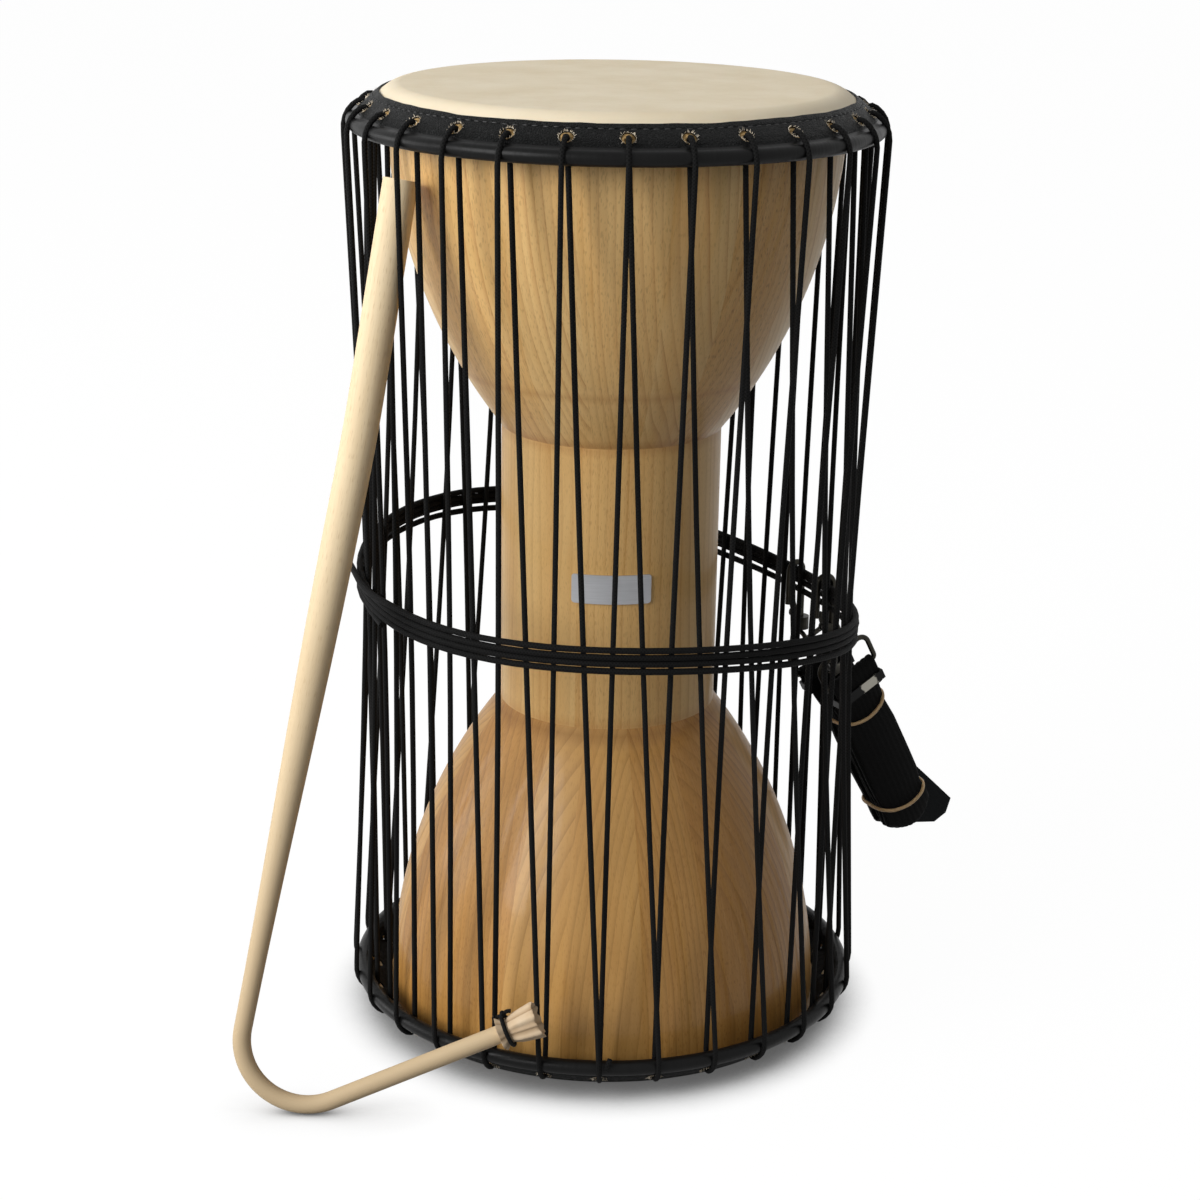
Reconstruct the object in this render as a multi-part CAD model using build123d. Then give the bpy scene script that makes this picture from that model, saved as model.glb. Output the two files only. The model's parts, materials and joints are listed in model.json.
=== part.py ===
# Talking drum: a turned hourglass shell, two laced heads, a cord winding round the waist
# with a carrying strap clipped to it, and a bent beater tucked behind the lacing.
# Millimetres, +Z up. The origin is the centre of the lower head, on the floor.
# Angles are measured round the drum from the front (-Y), positive towards +X.
import os
from math import asin, atan2, ceil, cos, degrees, hypot, pi, radians, sin, sqrt, tan

from build123d import *

# Driving sizes: shell
DRUM_HEIGHT = 440.0
MOUTH_R = 102.7            # bowl's outer radius at the rim
BOWL_MID_R = 90.5          # bowl's outer radius at BOWL_MID_DEPTH below the head
BOWL_MID_DEPTH = 80.0
BOWL_LENGTH = 154.0        # head face to the joint with the waist tube
WAIST_R = 50.6
BOWL_WALL = 9.5
WAIST_WALL = 10.0
BEARING_ROUND = 5.0        # rounding of the rim that carries the skin
RIM_FLAT = 2.0
RIM_BEVEL_DEPTH = 8.0
SPIGOT_LENGTH = 14.0       # waist tube's glued spigot inside each bowl
SPIGOT_WALL = 5.4
GLUE_GAP = 0.1
BADGE_WIDTH = 36.0
BADGE_HEIGHT = 13.5
BADGE_THICKNESS = 0.8
BADGE_CORNER = 1.5
BADGE_RISE = 1.0           # badge above the drum's middle

# Driving sizes: heads and hoops
SKIN_THICKNESS = 1.0
BAND_THICKNESS = 1.0
SEAT_GAP = 0.1             # between layers that lie on each other
HOOP_OUT = 14.0            # hoop's centre line outside the rim
HOOP_DEPTH = 16.3          # hoop's centre line below the head face
HOOP_WIRE_R = 2.2
BAND_EDGE_OUT = 3.2        # inner edge of the black band outside the rim
HOLE_COUNT = 28
HOLE_INSET = 4.5           # lacing holes inside the hoop's centre line
BAND_HOLE_D = 6.5
SKIN_HOLE_D = 5.0
TOP_PHASE = 1.0            # angle of the front hole in the upper band
BOTTOM_PHASE = -1.6

# Driving sizes: lacing and waist winding
LACE_D = 2.5
LACE_GAP = 0.3             # lacing to the pieces that it lies on
HOLE_LEAD = 1.2            # lacing below a hole, inside the hole's middle
WAIST_PULL = 3.6           # how far the winding draws the strands in
HOLE_BEND = 2.6            # bend of the lacing at a hole
WAIST_BEND = 600.0
LACE_TAIL = 8.5            # lacing's two ends inside the first lower hole
LACE_END_GAP = 1.5
WIND_D = 2.5
WIND_TURNS = 4
WIND_PITCH = 3.0
WIND_GAP = 0.9             # winding to the strands inside it
WIND_LEFT = -9.0           # winding's height over the drum's middle at its four quarters
WIND_FRONT = -13.5
WIND_STRAP = -29.5         # drawn down by the strap
WIND_BACK = 2.0
WIND_SLACK = 1.6           # the last turn hangs this much lower on the right
WIND_END = 6.0             # straight ends of the winding

# Driving sizes: beater
STICK_SLOT = -4.435        # upper hole spaces from the front hole to the stick, which leans on a strand
STICK_TOP_DEPTH = 34.1     # stick's top end below the upper head
STICK_KNEE = 0.25          # share of the long arm at which it bows
STICK_BOW = 3.0            # how far it bows towards the drum
STICK_BOW_R = 1500.0
CROOK_OUT = 95.0           # corner of the crook outside the lacing
CROOK_ANGLE = -52.8
CROOK_Z = -15.0            # corner of the crook before it is set on the floor
CROOK_BEND = 28.8          # heat-bent crook
ARM_OUT = 13.0             # short arm's end outside the lacing
ARM_ANGLE = -18.0
ARM_Z = 41.6
FLOOR_GAP = 0.2
GRIP_D = 15.4
CROOK_D = 8.2
GRIP_SHARE = 0.4           # share of the long arm that keeps the grip's full size
STICK_STATIONS = 16
TIP_LENGTH = 18.0
TIP_OVERHANG = 11.5        # leather past the end of the stick
TIP_WALL = 1.6
TIP_FLARE_R = 8.2
TIP_MOUTH_DEPTH = 5.0
TIP_FRILL_R = 7.8          # leather's gathered back edge
TIP_FRILL = 2.6            # back edge to the neck under the tie
TIE_D = 1.9
TIE_TURNS = 1
TIE_PITCH = 2.4
TIE_TAIL = 5.0

# Driving sizes: strap hooks
HOOK_SLOTS = (8, 9)        # spaces between strands, counted from the front, that the hooks use
HOOK_WIRE_D = 3.0
HOOK_IN = 1.4              # hook's inner leg inside the strands' middle
HOOK_OUT = 3.6             # hook's outer leg outside the winding's middle
HOOK_CLEAR = 0.3           # winding to the hook's crown
HOOK_LEG = 21.0            # inner leg, from the crown's middle to the tip
LUG_DROP = 24.0            # lug for the gate, below the crown
LUG_WIDTH = 4.6
LUG_ROUND = 2.0
GATE_WIDTH = 1.6
GATE_THICKNESS = 1.5
GATE_PIN_D = 1.4
GATE_PIN_IN = 3.8          # gate's pin inside the outer leg
GATE_PIN_DROP = 26.3
GATE_GAP = 0.15
BARREL_DROP = 28.5         # swivel barrel, below the crown
BARREL_D = 8.4
BARREL_LENGTH = 6.5
BARREL_ROOF = 1.6
SWIVEL_STEM_D = 3.0
SWIVEL_HEAD_D = 5.2
SWIVEL_HEAD = 1.4
SWIVEL_GAP = 0.2
SWIVEL_NECK = 0.8
EYE_WIRE_D = 2.4
EYE_R = 4.3                # free radius inside the eye

# Driving sizes: strap rings, webbing and its bands
STRAP_LEAN = 28.0          # strap's lean out from the cage
STRAP_SWING = 18.0         # how far it swings out from there
LINK_GAP = 0.4             # ring in the eye, at the end of that swing
RING_WIRE_D = 2.6
RING_DEPTH = 15.0          # ring's upper bar to its lower bar
RING_SIDE = 8.0            # ring's inner side from the eye
RING_SIDE_GAP = 0.7
RING_SHOULDER = 5.0
WEB_WIDTH = 27.0
WEB_THICKNESS = 1.6
WEB_GAP = 0.3              # webbing round the ring's bar
WEB_RUNS = 10
WEB_FOLD_TOP = 15.0        # folds' upper ends below the bar
WEB_FOLD_END = 104.0       # folds' lower ends below the bar
WEB_TAIL = 13.0            # webbing doubled back past the bar
KEEPER_DROP = 6.0          # metal keeper below the bar
KEEPER_LENGTH = 5.0
KEEPER_WALL = 0.8
KEEPER_GAP = 0.25
RUBBER_D = 1.8
RUBBER_UPPER = 24.0        # rubber bands below the bar
RUBBER_LOWER = 84.0
RUBBER_GAP = 0.25
RUBBER_INNER_R = 0.6
FLAP_DROP = 62.0           # loose end's upper edge below the bar
FLAP_LENGTH = 68.0
FLAP_LEAN = 19.0           # strap's loose end stands out from the hank
FLAP_CLIP = 8.0

# Values worked out from the driving sizes
MIDDLE = DRUM_HEIGHT / 2
SPIGOT_R = WAIST_R - WAIST_WALL + SPIGOT_WALL
BORE_R = WAIST_R - WAIST_WALL
BEARING_R = MOUTH_R - BEARING_ROUND
BEARING_DEPTH = SKIN_THICKNESS + BEARING_ROUND
BAND_TOP = BEARING_DEPTH + SEAT_GAP + BAND_THICKNESS     # heights over the bearing's centre
BAND_UNDER = BEARING_DEPTH + SEAT_GAP
ROLL_R = HOOP_WIRE_R + SEAT_GAP + BAND_THICKNESS
HOOP_R = MOUTH_R + HOOP_OUT
HOOP_ACROSS = HOOP_R - BEARING_R
HOOP_DOWN = HOOP_DEPTH - BEARING_DEPTH
HOOP_AWAY = hypot(HOOP_ACROSS, HOOP_DOWN)
FLANK = atan2(HOOP_DOWN, HOOP_ACROSS) + asin((BAND_TOP - ROLL_R) / HOOP_AWAY)
HOOP_ALONG = HOOP_AWAY * cos(asin((BAND_TOP - ROLL_R) / HOOP_AWAY))
HOLE_R = HOOP_R - HOLE_INSET
LACE_OVER = BAND_TOP + LACE_GAP + LACE_D / 2
HOOP_BEND = ROLL_R + LACE_GAP + LACE_D / 2
INNER_STRAND_R = HOLE_R - HOLE_LEAD
OUTER_STRAND_R = HOOP_R + HOOP_BEND
WAIST_STRAND_R = (INNER_STRAND_R + OUTER_STRAND_R) / 2 - WAIST_PULL
WIND_R = WAIST_STRAND_R + LACE_D / 2 + WIND_GAP + WIND_D / 2
PITCH = 360 / HOLE_COUNT
HOOK_IN_R = WAIST_STRAND_R - HOOK_IN
HOOK_OUT_R = WIND_R + HOOK_OUT
GATE_PIN_R = HOOK_OUT_R - GATE_PIN_IN
RING_IN = -RING_SIDE
RING_OUT = RING_IN + WEB_WIDTH + 2 * RING_SIDE_GAP + RING_WIRE_D
RING_FOOT = RING_SIDE_GAP + RING_WIRE_D / 2
WEB_BEND = RING_WIRE_D / 2 + WEB_GAP + WEB_THICKNESS / 2
LINK_RISE = (EYE_WIRE_D / 2 + RING_WIRE_D / 2 + LINK_GAP) / cos(radians(STRAP_LEAN + STRAP_SWING))


def polar(radius, angle, height):
    """A point at a radius and an angle in degrees from the front, at a height."""
    return Vector(radius * sin(radians(angle)), -radius * cos(radians(angle)), height)


def flank(along, over):
    """Radius and depth of a point on the slope from the bearing edge to the hoop."""
    radius = BEARING_R + over * sin(FLANK) + along * cos(FLANK)
    depth = BEARING_DEPTH - over * cos(FLANK) + along * sin(FLANK)
    return radius, depth


def flank_at(radius, over):
    """Distance along that slope at which a line at this height reaches a radius."""
    return (radius - BEARING_R - over * sin(FLANK)) / cos(FLANK)


def arc_mid(centre, radius, start, end):
    """The middle of an arc from a start angle to an end angle, in radians."""
    middle = (start + end) / 2
    return centre[0] + radius * cos(middle), centre[1] + radius * sin(middle)


def turned(outline, holes=()):
    """A solid of revolution about Z from an outline in radius and height."""
    face = make_face(outline)
    for hole in holes:
        face -= hole
    return revolve(Plane.XZ * face, axis=Axis.Z)


def flipped(part):
    """The same piece on the upper end of the drum."""
    return mirror(part, about=Plane.XY.offset(MIDDLE))


def tube(path, diameter):
    """A round cord or wire along a path."""
    start = Plane(origin=path @ 0, z_dir=path % 0)
    return sweep(start * Circle(diameter / 2), path=path)


def biarc(start, start_way, end, end_way):
    """Two tangent arcs from one point and direction to another."""
    across = end - start
    ways = start_way + end_way
    bend = 2 * (1 - start_way.dot(end_way))
    reach = (-across.dot(ways) + sqrt(across.dot(ways) ** 2 + bend * across.dot(across))) / bend
    first = start + start_way * reach
    last = end - end_way * reach
    joint = (first + last) * 0.5
    return [
        Edge.make_tangent_arc(start, start_way, joint),
        Edge.make_tangent_arc(joint, (last - first).normalized(), end),
    ]


def wound(points, ways, lead):
    """A winding through points with given directions, with straight ends."""
    edges = [Edge.make_line(points[0] - ways[0] * lead, points[0])]
    for index in range(len(points) - 1):
        edges += biarc(points[index], ways[index], points[index + 1], ways[index + 1])
    edges.append(Edge.make_line(points[-1], points[-1] + ways[-1] * lead))
    return Wire(edges)


def self_gap(path, diameter, step):
    """Least gap of a winding to itself, between points over four diameters apart on it."""
    count = ceil(path.length / step)
    points = [path @ (index / count) for index in range(count + 1)]
    skip = ceil(4 * diameter / step)
    gaps = []
    for index, point in enumerate(points):
        gaps += [(point - other).length for other in points[index + skip:]]
    return min(gaps) - diameter


def report_tube(name, part, path, diameter):
    """Prints a tube's length and its volume against section times length."""
    ideal = path.length * pi * diameter ** 2 / 4
    print(f"{name}: length {path.length:.1f} mm, volume {part.volume / ideal:.4f} of section x length")


# Shell: two turned bowls glued to a straight waist tube
def lower_bowl():
    rim = SKIN_THICKNESS + SEAT_GAP
    turn = rim + BEARING_ROUND
    inner_rim = BEARING_R - RIM_FLAT
    bevel = (MOUTH_R - BOWL_WALL, rim + RIM_BEVEL_DEPTH)
    shoulder = BOWL_LENGTH - SPIGOT_LENGTH
    socket = SPIGOT_R + GLUE_GAP
    crown = arc_mid((BEARING_R, turn), BEARING_ROUND, -pi / 2, 0)
    outline = Curve() + [
        Line((inner_rim, rim), (BEARING_R, rim)),
        ThreePointArc((BEARING_R, rim), crown, (MOUTH_R, turn)),
        ThreePointArc((MOUTH_R, turn), (BOWL_MID_R, BOWL_MID_DEPTH), (WAIST_R, BOWL_LENGTH)),
        Polyline((WAIST_R, BOWL_LENGTH), (socket, BOWL_LENGTH), (socket, shoulder), (BORE_R, shoulder)),
        ThreePointArc((BORE_R, shoulder), (BOWL_MID_R - BOWL_WALL, BOWL_MID_DEPTH), bevel),
        Line(bevel, (inner_rim, rim)),
    ]
    return turned(outline)


def waist_tube():
    neck = SPIGOT_LENGTH - GLUE_GAP
    low = BOWL_LENGTH
    high = DRUM_HEIGHT - BOWL_LENGTH
    outline = Polyline(
        (BORE_R, low - neck), (SPIGOT_R, low - neck), (SPIGOT_R, low), (WAIST_R, low),
        (WAIST_R, high), (SPIGOT_R, high), (SPIGOT_R, high + neck), (BORE_R, high + neck),
        close=True,
    )
    return turned(outline)


def badge_plate():
    seat = WAIST_R + SEAT_GAP
    plate = Plane.XZ * RectangleRounded(BADGE_WIDTH, BADGE_HEIGHT, BADGE_CORNER)
    block = extrude(plate, amount=seat + BADGE_THICKNESS)
    sleeve = Cylinder(seat + BADGE_THICKNESS, 2 * BADGE_HEIGHT) - Cylinder(seat, 2 * BADGE_HEIGHT)
    return Pos(0, 0, MIDDLE + BADGE_RISE) * (block & sleeve)


# Heads: skin over the bearing edge, black band over its flank, steel hoop rolled in the band
def hole_cutters(phase, diameter):
    along = flank_at(HOLE_R, BAND_TOP)
    radius, depth = flank(along, BAND_UNDER)
    reach = 2 * (BAND_TOP - BEARING_ROUND)
    cutters = []
    for index in range(HOLE_COUNT):
        angle = phase + index * PITCH
        centre = polar(radius, angle, depth)
        way = polar(sin(FLANK), angle, -cos(FLANK))
        cutters.append(Plane(origin=centre, z_dir=way) * Cylinder(diameter / 2, reach))
    return cutters


def lower_skin(phase):
    skin_top = BEARING_DEPTH
    skin_under = BEARING_ROUND
    end = HOOP_ALONG - ROLL_R - 2 * SEAT_GAP
    centre = (BEARING_R, BEARING_DEPTH)
    lean = FLANK - pi / 2
    outer = arc_mid(centre, skin_top, -pi / 2, lean)
    inner = arc_mid(centre, skin_under, -pi / 2, lean)
    outline = Curve() + [
        Line((0, SKIN_THICKNESS), (0, 0)),
        Line((0, 0), (BEARING_R, 0)),
        ThreePointArc((BEARING_R, 0), outer, flank(0, skin_top)),
        Polyline(flank(0, skin_top), flank(end, skin_top), flank(end, skin_under), flank(0, skin_under)),
        ThreePointArc(flank(0, skin_under), inner, (BEARING_R, SKIN_THICKNESS)),
        Line((BEARING_R, SKIN_THICKNESS), (0, SKIN_THICKNESS)),
    ]
    return turned(outline) - hole_cutters(phase, SKIN_HOLE_D)


def lower_band(phase):
    edge = flank_at(MOUTH_R + BAND_EDGE_OUT, BAND_TOP)
    hoop_over = BAND_TOP - ROLL_R
    tuck = sqrt(ROLL_R ** 2 - (BAND_UNDER - hoop_over) ** 2)
    outline = Curve() + [
        Line(flank(edge, BAND_UNDER), flank(edge, BAND_TOP)),
        Line(flank(edge, BAND_TOP), flank(HOOP_ALONG, BAND_TOP)),
        ThreePointArc(
            flank(HOOP_ALONG, BAND_TOP),
            flank(HOOP_ALONG + ROLL_R, hoop_over),
            flank(HOOP_ALONG, hoop_over - ROLL_R),
        ),
        ThreePointArc(
            flank(HOOP_ALONG, hoop_over - ROLL_R),
            flank(HOOP_ALONG - ROLL_R, hoop_over),
            flank(HOOP_ALONG - tuck, BAND_UNDER),
        ),
        Line(flank(HOOP_ALONG - tuck, BAND_UNDER), flank(edge, BAND_UNDER)),
    ]
    core = Pos(HOOP_R, HOOP_DEPTH) * Circle(ROLL_R - BAND_THICKNESS)
    return turned(outline, [core]) - hole_cutters(phase, BAND_HOLE_D)


def lower_hoop():
    wire = Pos(HOOP_R, 0, HOOP_DEPTH) * (Plane.XZ * Circle(HOOP_WIRE_R))
    return revolve(wire, axis=Axis.Z)


# Lacing: one cord, down outside from each upper hole and up inside to the next
def wind_height(angle):
    """Height of the waist winding's middle at an angle, through its four quarter heights."""
    turn = radians(angle - strap_angle())
    mean = MIDDLE + (WIND_STRAP + WIND_BACK + WIND_LEFT + WIND_FRONT) / 4
    along = (WIND_STRAP - WIND_LEFT) / 2
    across = (WIND_BACK - WIND_FRONT) / 2
    saddle = (WIND_STRAP + WIND_LEFT - WIND_BACK - WIND_FRONT) / 4
    return mean + along * cos(turn) + across * sin(turn) + saddle * cos(2 * turn)


def slot_angle(index):
    """Middle of the space between the inner strand of a hole and the outer one of the next."""
    outer = (TOP_PHASE + BOTTOM_PHASE) / 2 + (index + 1) * PITCH
    return outer - PITCH / 4


def strap_angle():
    return sum(slot_angle(index) for index in HOOK_SLOTS) / len(HOOK_SLOTS)


def lacing_path():
    hole_along = flank_at(INNER_STRAND_R, LACE_OVER)
    hoop_along = flank_at(OUTER_STRAND_R, LACE_OVER)
    hole_r, hole_depth = flank(hole_along, LACE_OVER)
    hoop_r, hoop_depth = flank(hoop_along, LACE_OVER)
    first = BOTTOM_PHASE
    points = [polar(hole_r, first, hole_depth + LACE_TAIL)]
    radii = []

    def waist(angle):
        points.append(polar(WAIST_STRAND_R, angle, wind_height(angle)))
        radii.append(WAIST_BEND)

    for index in range(HOLE_COUNT):
        below = BOTTOM_PHASE - index * PITCH
        above = TOP_PHASE - (index + 1) * PITCH
        points.append(polar(hole_r, below, hole_depth))
        points.append(polar(hoop_r, below, hoop_depth))
        radii.extend([HOLE_BEND, HOOP_BEND])
        waist((below + above) / 2)
        points.append(polar(hole_r, above, DRUM_HEIGHT - hole_depth))
        points.append(polar(hoop_r, above, DRUM_HEIGHT - hoop_depth))
        radii.extend([HOLE_BEND, HOOP_BEND])
        waist((above + below - PITCH) / 2)
    points.append(polar(hole_r, first - 360, hole_depth + LACE_TAIL + LACE_END_GAP))
    return FilletPolyline(points, radius=radii)


def winding_path():
    start = strap_angle() - 180
    count = 4 * WIND_TURNS
    points = []
    ways = []
    for index in range(count + 1):
        angle = start + 90 * index
        step = 1.0
        drop = (0.5 - index / count) * WIND_TURNS * WIND_PITCH
        if count - 4 < index < count:
            drop -= WIND_SLACK
        rise = wind_height(angle + step) - wind_height(angle - step)
        rise -= 2 * step / 360 * WIND_PITCH
        points.append(polar(WIND_R, angle, wind_height(angle) + drop))
        run = 2 * WIND_R * radians(step)
        ways.append((polar(run, angle + 90, 0) + Vector(0, 0, rise)).normalized())
    return wound(points, ways, WIND_END)


# Beater: a bent stick, a leather tip and the cord that ties it on
def stick_path():
    """Centre line of the stick: top end, long arm, crook on the floor, short arm."""
    room = (MOUTH_R + OUTER_STRAND_R - LACE_D / 2) / 2
    top = polar(room, TOP_PHASE + STICK_SLOT * PITCH, DRUM_HEIGHT - STICK_TOP_DEPTH)
    corner = polar(OUTER_STRAND_R + CROOK_OUT, CROOK_ANGLE, CROOK_Z)
    end = polar(OUTER_STRAND_R + ARM_OUT, ARM_ANGLE, ARM_Z)
    knee = top + (corner - top) * STICK_KNEE + Vector(STICK_BOW, 0, 0)
    path = FilletPolyline(top, knee, corner, end, radius=[STICK_BOW_R, CROOK_BEND])
    lowest = path.bounding_box().min.Z
    return Pos(0, 0, FLOOR_GAP + CROOK_D / 2 - lowest) * path


def stick_diameter(share):
    """Diameter at a share of the long arm: the grip, then a taper down to the crook."""
    taper = max((share - GRIP_SHARE) / (1 - GRIP_SHARE), 0.0)
    return GRIP_D + (CROOK_D - GRIP_D) * (3 - 2 * taper) * taper ** 2


def beater_stick(path):
    edges = path.order_edges()
    long_arm = Wire(edges[:-2])
    crook = Wire(edges[-2:])
    rings = []
    for index in range(STICK_STATIONS + 1):
        share = index / STICK_STATIONS
        way = long_arm % share
        side = way.cross(Vector(0, 1, 0)).normalized()
        station = Plane(origin=long_arm @ share, x_dir=side, z_dir=way)
        rings.append(station * Circle(stick_diameter(share) / 2))
    return loft(rings) + tube(crook, CROOK_D)


def tip_plane(path):
    """Frame at the start of the leather tip, with its X upward and its Z along the short arm."""
    way = path % 1
    up = way.cross(Vector(0, 1, 0))
    return Plane(origin=path @ 1 - way * (TIP_LENGTH - TIP_OVERHANG), x_dir=up, z_dir=way)


def beater_tip(path):
    bore = CROOK_D / 2 + SEAT_GAP
    neck = bore + TIP_WALL
    seat = TIP_LENGTH - TIP_OVERHANG + SEAT_GAP
    mouth = TIP_LENGTH - TIP_MOUTH_DEPTH
    outline = Curve() + [
        Polyline((bore, 0), (TIP_FRILL_R, 0), (neck, TIP_FRILL), (neck, TIP_LENGTH / 2)),
        ThreePointArc(
            (neck, TIP_LENGTH / 2),
            ((neck + TIP_FLARE_R) / 2 - TIP_WALL / 4, TIP_LENGTH * 0.78),
            (TIP_FLARE_R, TIP_LENGTH),
        ),
        Polyline(
            (TIP_FLARE_R, TIP_LENGTH), (TIP_FLARE_R - TIP_WALL, TIP_LENGTH), (bore / 2, mouth),
            (0, mouth), (0, seat), (bore, seat), (bore, 0),
        ),
    ]
    return tip_plane(path) * turned(outline)


def tie_path(path):
    frame = tip_plane(path)
    radius = CROOK_D / 2 + SEAT_GAP + TIP_WALL + SEAT_GAP + TIE_D / 2
    low = (TIP_LENGTH / 2 - TIE_TURNS * TIE_PITCH) / 2
    points = []
    ways = []
    for index in range(2 * TIE_TURNS + 1):
        turn = pi * index
        rise = TIE_PITCH / (2 * pi * radius)
        spot = Vector(radius * cos(turn), radius * sin(turn), low + TIE_PITCH * index / 2)
        way = Vector(-sin(turn), cos(turn), rise).normalized()
        points.append(frame.from_local_coords(spot))
        ways.append(frame.from_local_coords(way) - frame.origin)
    return wound(points, ways, TIE_TAIL)


# Strap hooks: a hook with a swivel barrel, a sprung gate on a pin, and a swivelling eye
def slot_frame(index):
    """Frame in a strand space: X out from the drum's axis, Y along +Z, Z along the winding."""
    angle = slot_angle(index)
    return Plane(origin=(0, 0, 0), x_dir=polar(1, angle, 0), z_dir=polar(-1, angle + 90, 0))


def hook_crown():
    """Height of the wire's middle at the top of both hooks."""
    highest = max(wind_height(slot_angle(index)) for index in HOOK_SLOTS)
    bundle = ((WIND_TURNS - 1) * WIND_PITCH + WIND_D) / 2
    return highest + bundle + HOOK_CLEAR + HOOK_WIRE_D / 2


def eye_height():
    """Height of the middle of the swivels' eyes."""
    return hook_crown() - BARREL_DROP - BARREL_LENGTH - SWIVEL_NECK - EYE_R - EYE_WIRE_D


def upright(height):
    """Frame on the outer leg's line in a strand space, with its Z up."""
    return Plane(origin=(HOOK_OUT_R, height, 0), x_dir=(1, 0, 0), z_dir=(0, 1, 0))


def hook_body(index):
    crown = hook_crown()
    barrel_top = crown - BARREL_DROP
    lug_top = crown - LUG_DROP
    bend = (HOOK_OUT_R - HOOK_IN_R) / 2 - SEAT_GAP
    path = FilletPolyline(
        (HOOK_IN_R, crown - HOOK_LEG), (HOOK_IN_R, crown), (HOOK_OUT_R, crown), (HOOK_OUT_R, barrel_top),
        radius=bend,
    )
    hanging = (Align.CENTER, Align.CENTER, Align.MAX)
    barrel = Cylinder(BARREL_D / 2, BARREL_LENGTH, align=hanging)
    room = SWIVEL_HEAD + 2 * SWIVEL_GAP
    barrel -= Pos(0, 0, -BARREL_ROOF) * Cylinder(SWIVEL_HEAD_D / 2 + SWIVEL_GAP, room, align=hanging)
    barrel -= Pos(0, 0, -BARREL_ROOF) * Cylinder(SWIVEL_STEM_D / 2 + SWIVEL_GAP, BARREL_LENGTH, align=hanging)
    lug_in = GATE_PIN_R - LUG_ROUND
    lug_middle = (barrel_top + lug_top) / 2
    lug_face = Pos((lug_in + HOOK_OUT_R) / 2, lug_middle) * RectangleRounded(
        HOOK_OUT_R - lug_in, lug_top - barrel_top, LUG_ROUND
    )
    lug = extrude(lug_face, amount=LUG_WIDTH / 2, both=True)
    slot_depth = HOOK_OUT_R - HOOK_WIRE_D / 2 - lug_in
    slot = Pos(lug_in + slot_depth / 2, lug_middle) * Box(
        slot_depth, 2 * (lug_top - barrel_top), GATE_WIDTH + 2 * GATE_GAP
    )
    pin_hole = Pos(GATE_PIN_R, crown - GATE_PIN_DROP) * Cylinder(GATE_PIN_D / 2, LUG_WIDTH)
    body = tube(path, HOOK_WIRE_D) + upright(barrel_top) * barrel + (lug - slot - pin_hole)
    return slot_frame(index) * body


def hook_gate(index):
    pin_z = hook_crown() - GATE_PIN_DROP
    tip_z = hook_crown() - HOOK_LEG
    leg_face = HOOK_IN_R + HOOK_WIRE_D / 2 + GATE_GAP
    reach = Vector(leg_face + GATE_THICKNESS / 2 - GATE_PIN_R, tip_z + GATE_THICKNESS - pin_z)
    lean = degrees(atan2(reach.Y, reach.X))
    bar = SlotCenterToCenter(reach.length, 2 * GATE_THICKNESS)
    plate = Pos(GATE_PIN_R, pin_z) * Rot(0, 0, lean) * Pos(reach.length / 2, 0) * bar
    beyond = (Align.MAX, Align.CENTER)
    plate -= Pos(leg_face, tip_z) * Rectangle(2 * reach.length, 2 * reach.length, align=beyond)
    plate -= Pos(GATE_PIN_R, pin_z) * Circle(GATE_PIN_D / 2 + GATE_GAP)
    return slot_frame(index) * extrude(plate, amount=GATE_WIDTH / 2, both=True)


def gate_pin(index):
    pin = Pos(GATE_PIN_R, hook_crown() - GATE_PIN_DROP) * Cylinder(GATE_PIN_D / 2, LUG_WIDTH)
    return slot_frame(index) * pin


def hook_swivel(index):
    """A headed stem in the hook's barrel, ending in the eye that holds the strap's ring."""
    eye = eye_height()
    head_top = hook_crown() - BARREL_DROP - BARREL_ROOF - SWIVEL_GAP
    hanging = (Align.CENTER, Align.CENTER, Align.MAX)
    head = Cylinder(SWIVEL_HEAD_D / 2, SWIVEL_HEAD, align=hanging)
    stem = Cylinder(SWIVEL_STEM_D / 2, head_top - eye - EYE_R - EYE_WIRE_D / 2, align=hanging)
    loop = Pos(HOOK_OUT_R, eye) * Rot(0, 90, 0) * Torus(EYE_R + EYE_WIRE_D / 2, EYE_WIRE_D / 2)
    return slot_frame(index) * (upright(head_top) * (head + stem) + loop)


def half_spread():
    """Half of the angle between the two hooks."""
    return radians(abs(slot_angle(HOOK_SLOTS[1]) - slot_angle(HOOK_SLOTS[0])) / 2)


def strap_frame():
    """Frame at the strap's hinge: X across the strap, Y up along it, Z towards the front."""
    angle = strap_angle()
    hinge_z = eye_height() - EYE_R - EYE_WIRE_D / 2 + LINK_RISE
    origin = polar(HOOK_OUT_R * cos(half_spread()), angle, hinge_z)
    lean = radians(STRAP_LEAN)
    across = polar(cos(lean), angle, sin(lean))
    return Plane(origin=origin, x_dir=across, z_dir=polar(-1, angle + 90, 0))


def ring_offset():
    """Distance of each ring from the middle of the strap."""
    return HOOK_OUT_R * sin(half_spread())


def strap_ring(side):
    loop = FilletPolyline(
        (RING_IN, 0), (RING_OUT, 0), (RING_OUT, -RING_DEPTH), (RING_IN, -RING_DEPTH),
        radius=[RING_SHOULDER, RING_SHOULDER, RING_FOOT, RING_FOOT], close=True,
    )
    return strap_frame() * Pos(0, 0, side * ring_offset()) * tube(loop, RING_WIRE_D)


def layer_frame():
    """Frame at the rings' lower bars: X through the layers to the front, Y down, Z across."""
    frame = strap_frame()
    origin = frame.from_local_coords(Vector((RING_IN + RING_OUT) / 2, -RING_DEPTH, 0))
    return Plane(origin=origin, x_dir=frame.z_dir, z_dir=frame.x_dir)


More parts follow.
